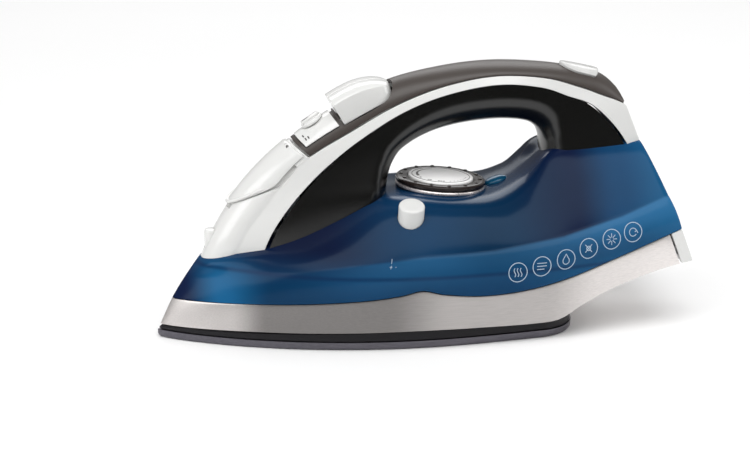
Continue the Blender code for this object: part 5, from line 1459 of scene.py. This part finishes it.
class IRON_OT_small(Operator):
    """Spray nozzle, lamp lenses and the self-clean button"""

    bl_idname = "iron.small"
    bl_label = "Nozzle, lenses and self-clean button"

    def execute(self, context):
        base = Vector((NOZZLE_X, 0, NOZZLE_Z))
        nozzle = turned("spray_tip", base, (0, 0, 1), [
            (0, 0), (2.8, 0), (3.6, 2.5), (3.85, 10.6), (3.7, 11.7), (3.2, 12.4), (2.4, 12.6), (0, 12.6)], 48)
        jet = base + Vector((0, 0, 8.0))
        cut(nozzle, rod("jet_bore", jet, jet - Vector((9, 0, 0)), 0.8, 24))
        collar = turned("jet_collar", jet - Vector((3.3, 0, 0)), (-1, 0, 0), [
            (0.8, 0), (1.9, 0), (1.9, 0.5), (1.6, 0.8), (0.8, 0.8), (0.8, 0)], 32)
        join(nozzle, collar)
        smooth(nozzle)
        fit(nozzle, "iron", "white", "white_plastic", "spray_nozzle")

        u = solve(lambda a: body_surface(a, 4).x, PILOT_X, 0.3, 1.0)
        point = body_surface(u, 4)
        normal = (OUTSIDE.lifted(u, 4, 1.0) - point).normalized()
        lens = turned("power_lens", point - normal * 2.4, normal, [
            (0, 0), (7.0, 0), (7.0, 2.6), (6.8, 3.3), (6.1, 4.0), (4.9, 4.6), (3.4, 5.0), (1.6, 5.2), (0, 5.25)],
            64, 0.74)
        smooth(lens, 60)
        fit(lens, "iron", "teal_lens", "lens_blue", "pilot_lens")

        start, end = station_at(230.0), station_at(251.5)
        outline = rounded_outline(start, end, 9.4, 0.5, 0.2)
        lens = patch("auto_off_lens", ease_ends(start, end, 30, 0.12), outline,
                     lambda t, s: 2.0 * (1 - 0.5 * s**4), lambda t, s: -1.2, 16)
        soften(lens, 0.5, 3, 30)
        slot_point, slot_normal = surface_frame(247.0)
        cut(lens, block("lens_slot", slot_point + slot_normal * 1.7, (2.2, 5.0, 1.0),
                        slot_normal.cross(Vector((0, 1, 0))), slot_normal))
        smooth(lens, 40)
        fit(lens, "iron", "white_lens", "white_plastic", "shutoff_lens")

        seat, axis = clean_seat()
        top = 26.0 + CLEAN_HEIGHT
        button = turned("clean_cap", seat - axis * 26.0, axis, [
            (0, 0), (1.8, 0), (1.8, 18.5), (CLEAN_RADIUS, 18.5), (CLEAN_RADIUS, top - 1.2),
            (CLEAN_RADIUS - 0.15, top - 0.65), (CLEAN_RADIUS - 0.55, top - 0.2), (CLEAN_RADIUS - 1.2, top),
            (3.6, top - 0.05), (0, top - 0.25)], 64)
        smooth(button, 40)
        fit(button, "clean_key", "white", "white_plastic", "self_clean_button")
        return {"FINISHED"}


# ---------------------------------------------------------------- rear


def rear_plate(name, right_side):
    """A plate just inside the rear face, from the right half of its outline, listed from the bottom up."""
    out = Vector((math.cos(REAR_LEAN), 0, math.sin(REAR_LEAN)))
    ring = right_side + [(-y, z) for y, z in reversed(right_side) if abs(y) > 0.01]
    return stacked(name, [[Vector((rear_x(z), y, z)) - out * depth for y, z in ring]
                          for depth in (REAR_RECESS + REAR_PLATE, REAR_RECESS)])


class IRON_OT_rear(Operator):
    """Rear panel with its two screws and cord wrap ribs, end cap of the handle, and the cord's rubber collar"""

    bl_idname = "iron.rear"
    bl_label = "Rear"

    def execute(self, context):
        out = Vector((math.cos(REAR_LEAN), 0, math.sin(REAR_LEAN)))
        up = Vector((-math.sin(REAR_LEAN), 0, math.cos(REAR_LEAN)))
        body = [OUTSIDE.lifted(1.0, v, -WALL - 0.55) for v in [*spread(0.3, 1, 8), *spread(1, 4, 40)[1:]]]
        outline = [(body[0].y + 0.3, REAR_FOOT_Z + 3.4)] + [(p.y, p.z) for p in body[1:-1]] + [(0.0, body[-1].z)]
        panel = rear_plate("rear_panel", outline)
        soften(panel, 0.5, 3)
        for side in (1, -1):
            spot = Vector((rear_x(68.0), 24.0 * side, 68.0)) - out * REAR_RECESS
            cut(panel, rod("screw_bore", spot + out * 5, spot - out * 6, 1.8, 32))
        ribs = []
        for z in (48.0, 52.0, 56.0, 82.0, 86.0, 90.0):
            spot = Vector((rear_x(z), 0, z)) - out * (REAR_RECESS - 0.1)
            ribs.append(block(f"rib_{z:.0f}", spot, (1.3, 30.0, 1.2), up, out, 0.35))
        join(panel, *ribs)
        smooth(panel)
        fit(panel, "iron", "heat_black", "heat_black", "rear_cover")
        for place, side in (("left", 1), ("right", -1)):
            spot = Vector((rear_x(68.0), 24.0 * side, 68.0)) - out * REAR_RECESS
            screw = turned(f"rear_screw_head_{place}", spot - out * 9, out, [
                (0, 0), (1.5, 0), (1.5, 9.3), (3.1, 9.3), (3.2, 9.5), (3.15, 9.9), (2.8, 10.5), (2.0, 10.95),
                (0, 11.1)], 32)
            for turn in (0, 1):
                way = up if turn else Vector((0, 1, 0))
                cut(screw, block("cross_slot", spot + out * 2.0, (3.4, 0.8, 1.8), way, out))
            smooth(screw)
            fit(screw, "iron", "steel", "steel", f"rear_screw_{place}")

        def inner(p):
            depth = FRAME_DEPTH + 0.5 if p < 1 else WALL + 1.1
            t = solve(lambda a: HANDLE.lifted(a, p, -depth).x - rear_x(HANDLE.lifted(a, p, -depth).z), -REAR_RECESS,
                      10.0, float(LAST_KEY))
            return HANDLE.lifted(t, p, -depth)

        floor = BODY[4].height(rear_x(105)) + GAP + 1.5
        side = [inner(p) for p in [*spread(1.8, 1.05, 6), *spread(0.9, 0, 12)]]
        above = [(p.y, p.z) for p in side[:-1] if p.z > floor] + [(0.0, side[-1].z)]
        cap = rear_plate("handle_rear_cap", [(above[0][0] - 0.1, floor)] + above)
        soften(cap, 0.5, 3)
        centre = Vector((rear_x(GLAND_Z), 0, GLAND_Z)) - out * REAR_RECESS
        cut(cap, rod("gland_bore", centre + out * 9, centre - out * 9, GLAND_RADIUS + GAP, 64))
        smooth(cap)
        fit(cap, "iron", "white", "white_plastic", "handle_end_cap")

        end = REAR_PLATE + 4.9
        gland = turned("cord_collar", centre - out * (REAR_PLATE + 4), out, [
            (CORD_RADIUS, 0), (GLAND_RADIUS, 0), (GLAND_RADIUS, end - 0.6), (GLAND_RADIUS + 0.7, end - 0.6),
            (GLAND_RADIUS + 0.8, end - 0.3), (GLAND_RADIUS + 0.4, end), (CORD_RADIUS + 1.0, end),
            (CORD_RADIUS + 0.3, end - 0.3), (CORD_RADIUS, end - 1.0), (CORD_RADIUS, 0)], 64)
        smooth(gland)
        fit(gland, "iron", "rubber", "rubber", "cord_gland")
        return {"FINISHED"}


class IRON_OT_inner(Operator):
    """Finishes of the parts inside, which keep their own shape"""

    bl_idname = "iron.inner"
    bl_label = "Inner parts"

    def execute(self, context):
        finishes = {
            "cast": ["heater_casting"],
            "steel": ["heating_element", "steam_chamber_cover", "shield_screw_left", "shield_screw_right",
                      "thermostat", "thermal_fuse", "dial_spindle", "fill_door_pin", "spray_spring", "shot_spring",
                      "self_clean_spring"],
            "rubber": ["chamber_gasket"],
            "milky": ["tank_tub", "tank_bulkhead", "valve_seat", "spindle_tube", "spray_tube", "shot_tube"],
            "grey": ["valve_rod", "spray_plunger", "shot_plunger", "spray_pump_barrel", "shot_pump_barrel",
                     "self_clean_well", "cord_clamp", "terminal_block"],
            "lead": ["lead_live", "lead_neutral"],
            "lamp": ["pilot_lamp"],
        }
        for name, nodes in finishes.items():
            for node in nodes:
                NODES[node].data.materials.clear()
                NODES[node].data.materials.append(finish(name))
        return {"FINISHED"}


# ---------------------------------------------------------------- stage


def soft_light(name, place, target, size, power):
    deselect()
    bpy.ops.object.light_add(type="AREA", location=place)
    made = bpy.context.object
    made.name = name
    made.data.shape = "RECTANGLE"
    made.data.size, made.data.size_y = size
    made.data.energy = power
    way = Vector(target) - Vector(place)
    made.rotation_euler = way.to_track_quat("-Z", "Y").to_euler()
    return made


class IRON_OT_stage(Operator):
    """Pale floor, soft studio lights and the camera"""

    bl_idname = "iron.stage"
    bl_label = "Stage"

    def execute(self, context):
        sizes = context.scene.iron_sizes
        deselect()
        bpy.ops.mesh.primitive_plane_add(size=sizes.floor_size, location=(0, 0, 0))
        floor = context.object
        floor.name = "studio_floor"
        # The table ends a little in front of the iron, so the glossy upper sides mirror the dark room beyond it
        floor.data.transform(Matrix.Translation((0, sizes.floor_size / 2 - sizes.table_front, -0.0002)))
        made, tree, shader, place = new_finish("floor_paper", 0.9)
        tree.links.new(two_tone(tree, noise(tree, place, 400.0), linear("#fefefe"), linear("#fbfbfb")),
                       shader.inputs["Base Color"])
        floor.data.materials.append(made)

        backdrop = bpy.data.worlds.new("studio")
        context.scene.world = backdrop
        backdrop.use_nodes = True
        sky = backdrop.node_tree
        dim = sky.nodes["Background"]
        dim.inputs["Color"].default_value = (1, 1, 1, 1)
        direction = add(sky, "ShaderNodeSeparateXYZ", {"Vector": add(sky, "ShaderNodeTexCoord").outputs["Generated"]})
        height = add(sky, "ShaderNodeMapRange", {"Value": direction.outputs["Z"], "From Min": -0.05,
                                                 "From Max": 0.25, "To Min": 0.08, "To Max": 1.0}).outputs["Result"]
        sky.links.new(add(sky, "ShaderNodeMath", {0: height, 1: sizes.sky_strength}, operation="MULTIPLY").outputs[0],
                      dim.inputs["Strength"])
        # White paper behind the iron, and an even dimmer light from it
        paper = add(sky, "ShaderNodeBackground", {"Color": (1, 1, 1, 1), "Strength": 1.0})
        seen = add(sky, "ShaderNodeLightPath").outputs["Is Camera Ray"]
        both = add(sky, "ShaderNodeMixShader", {0: seen, 1: dim.outputs[0], 2: paper.outputs[0]})
        sky.links.new(both.outputs[0], sky.nodes["World Output"].inputs["Surface"])

        soft_light("light_above", (-0.1, -0.7, 1.5), (0, 0, 0.05), (2.0, 1.2), 22.0)
        soft_light("light_nose", (-1.5, -0.5, 0.8), (0, 0, 0.07), (1.0, 0.9), 8.0)
        soft_light("light_heel", (1.5, -0.3, 0.65), (0.05, 0, 0.06), (0.7, 0.9), 6.5)
        soft_light("light_behind", (0.2, 1.4, 1.0), (0, 0, 0.06), (1.6, 0.6), 8.0)

        target = Vector((0, 0, CAMERA_HEIGHT))
        azimuth, elevation = CAMERA_AZIMUTH, CAMERA_ELEVATION
        way = Vector((math.cos(elevation) * math.sin(azimuth), -math.cos(elevation) * math.cos(azimuth),
                      math.sin(elevation)))
        bpy.ops.object.camera_add(location=target + way * CAMERA_DISTANCE)
        camera = context.object
        camera.name = "studio_camera"
        camera.rotation_euler = (-way).to_track_quat("-Z", "Y").to_euler()
        camera.data.lens = CAMERA_LENS
        camera.data.sensor_width = 36.0
        camera.data.shift_x, camera.data.shift_y = CAMERA_SHIFT
        context.scene.camera = camera
        context.scene.view_settings.view_transform = "Standard"
        return {"FINISHED"}


# ---------------------------------------------------------------- settings, panel and main


class IronColours(PropertyGroup):
    """The colours that a user would change."""

    # The three tank colours are one tint with painted light and shade: tank_nose its painted shade, tank_heel its
    # painted light
    tank: FloatVectorProperty(name="Tank", description="Tank over its middle", subtype="COLOR", min=0, max=1,
                              default=linear("#0f3d64"))
    tank_nose: FloatVectorProperty(name="Tank nose", description="Tank behind the nose", subtype="COLOR", min=0,
                                   max=1, default=linear("#101c3e"))
    tank_heel: FloatVectorProperty(name="Tank heel", description="Tank where light comes through low at the heel",
                                   subtype="COLOR", min=0, max=1, default=linear("#1d5f8d"))
    skirt: FloatVectorProperty(name="Skirt", description="Brushed skirt", subtype="COLOR", min=0, max=1,
                               default=linear("#b0acaa"))
    white: FloatVectorProperty(name="White", description="White mouldings", subtype="COLOR", min=0, max=1,
                               default=linear("#e9e9e7"))
    grip: FloatVectorProperty(name="Grip", description="Soft cover of the grip", subtype="COLOR", min=0, max=1,
                              default=linear("#47403c"))


class IronSizes(PropertyGroup):
    """The sizes and counts that a user would change."""

    badge_radius: FloatProperty(name="Badge radius", description="Radius of a printed badge", subtype="DISTANCE",
                                default=0.0053, min=0.002, max=0.008)
    dial_nubs: IntProperty(name="Dial nubs", description="Raised nubs round the dial", default=14, min=4, max=24)
    floor_size: FloatProperty(name="Floor size", description="Side of the floor", subtype="DISTANCE", default=14.0,
                              min=2.0, max=40.0)
    table_front: FloatProperty(name="Table front", description="How far the floor reaches in front of the iron",
                               subtype="DISTANCE", default=0.3, min=0.1, max=10.0)
    sky_strength: FloatProperty(name="Sky strength", description="Strength of the even light all round",
                                default=0.3, min=0.0, max=3.0)


PIECES = (IRON_OT_sole, IRON_OT_skirt, IRON_OT_tank, IRON_OT_marks, IRON_OT_dial, IRON_OT_handle, IRON_OT_filler,
          IRON_OT_buttons, IRON_OT_steam, IRON_OT_small, IRON_OT_rear, IRON_OT_inner, IRON_OT_stage)


class IRON_PT_panel(Panel):
    """Lists the settings and the pieces of the iron"""

    bl_idname = "IRON_PT_panel"
    bl_label = "Steam iron"
    bl_space_type = "VIEW_3D"
    bl_region_type = "UI"
    bl_category = "Iron"

    def draw(self, context):
        for group in (context.scene.iron_colours, context.scene.iron_sizes):
            for name in group.__annotations__:
                self.layout.prop(group, name)
        for piece in PIECES:
            self.layout.operator(piece.bl_idname)


CLASSES = (IronColours, IronSizes, *PIECES, IRON_PT_panel)


def register():
    for item in CLASSES:
        bpy.utils.register_class(item)
    bpy.types.Scene.iron_colours = PointerProperty(type=IronColours)
    bpy.types.Scene.iron_sizes = PointerProperty(type=IronSizes)


def unregister():
    del bpy.types.Scene.iron_sizes
    del bpy.types.Scene.iron_colours
    for item in reversed(CLASSES):
        bpy.utils.unregister_class(item)


def main():
    register()
    deselect()
    for piece in PIECES:
        group, name = piece.bl_idname.split(".")
        getattr(getattr(bpy.ops, group), name)()


if __name__ == "__main__":
    main()
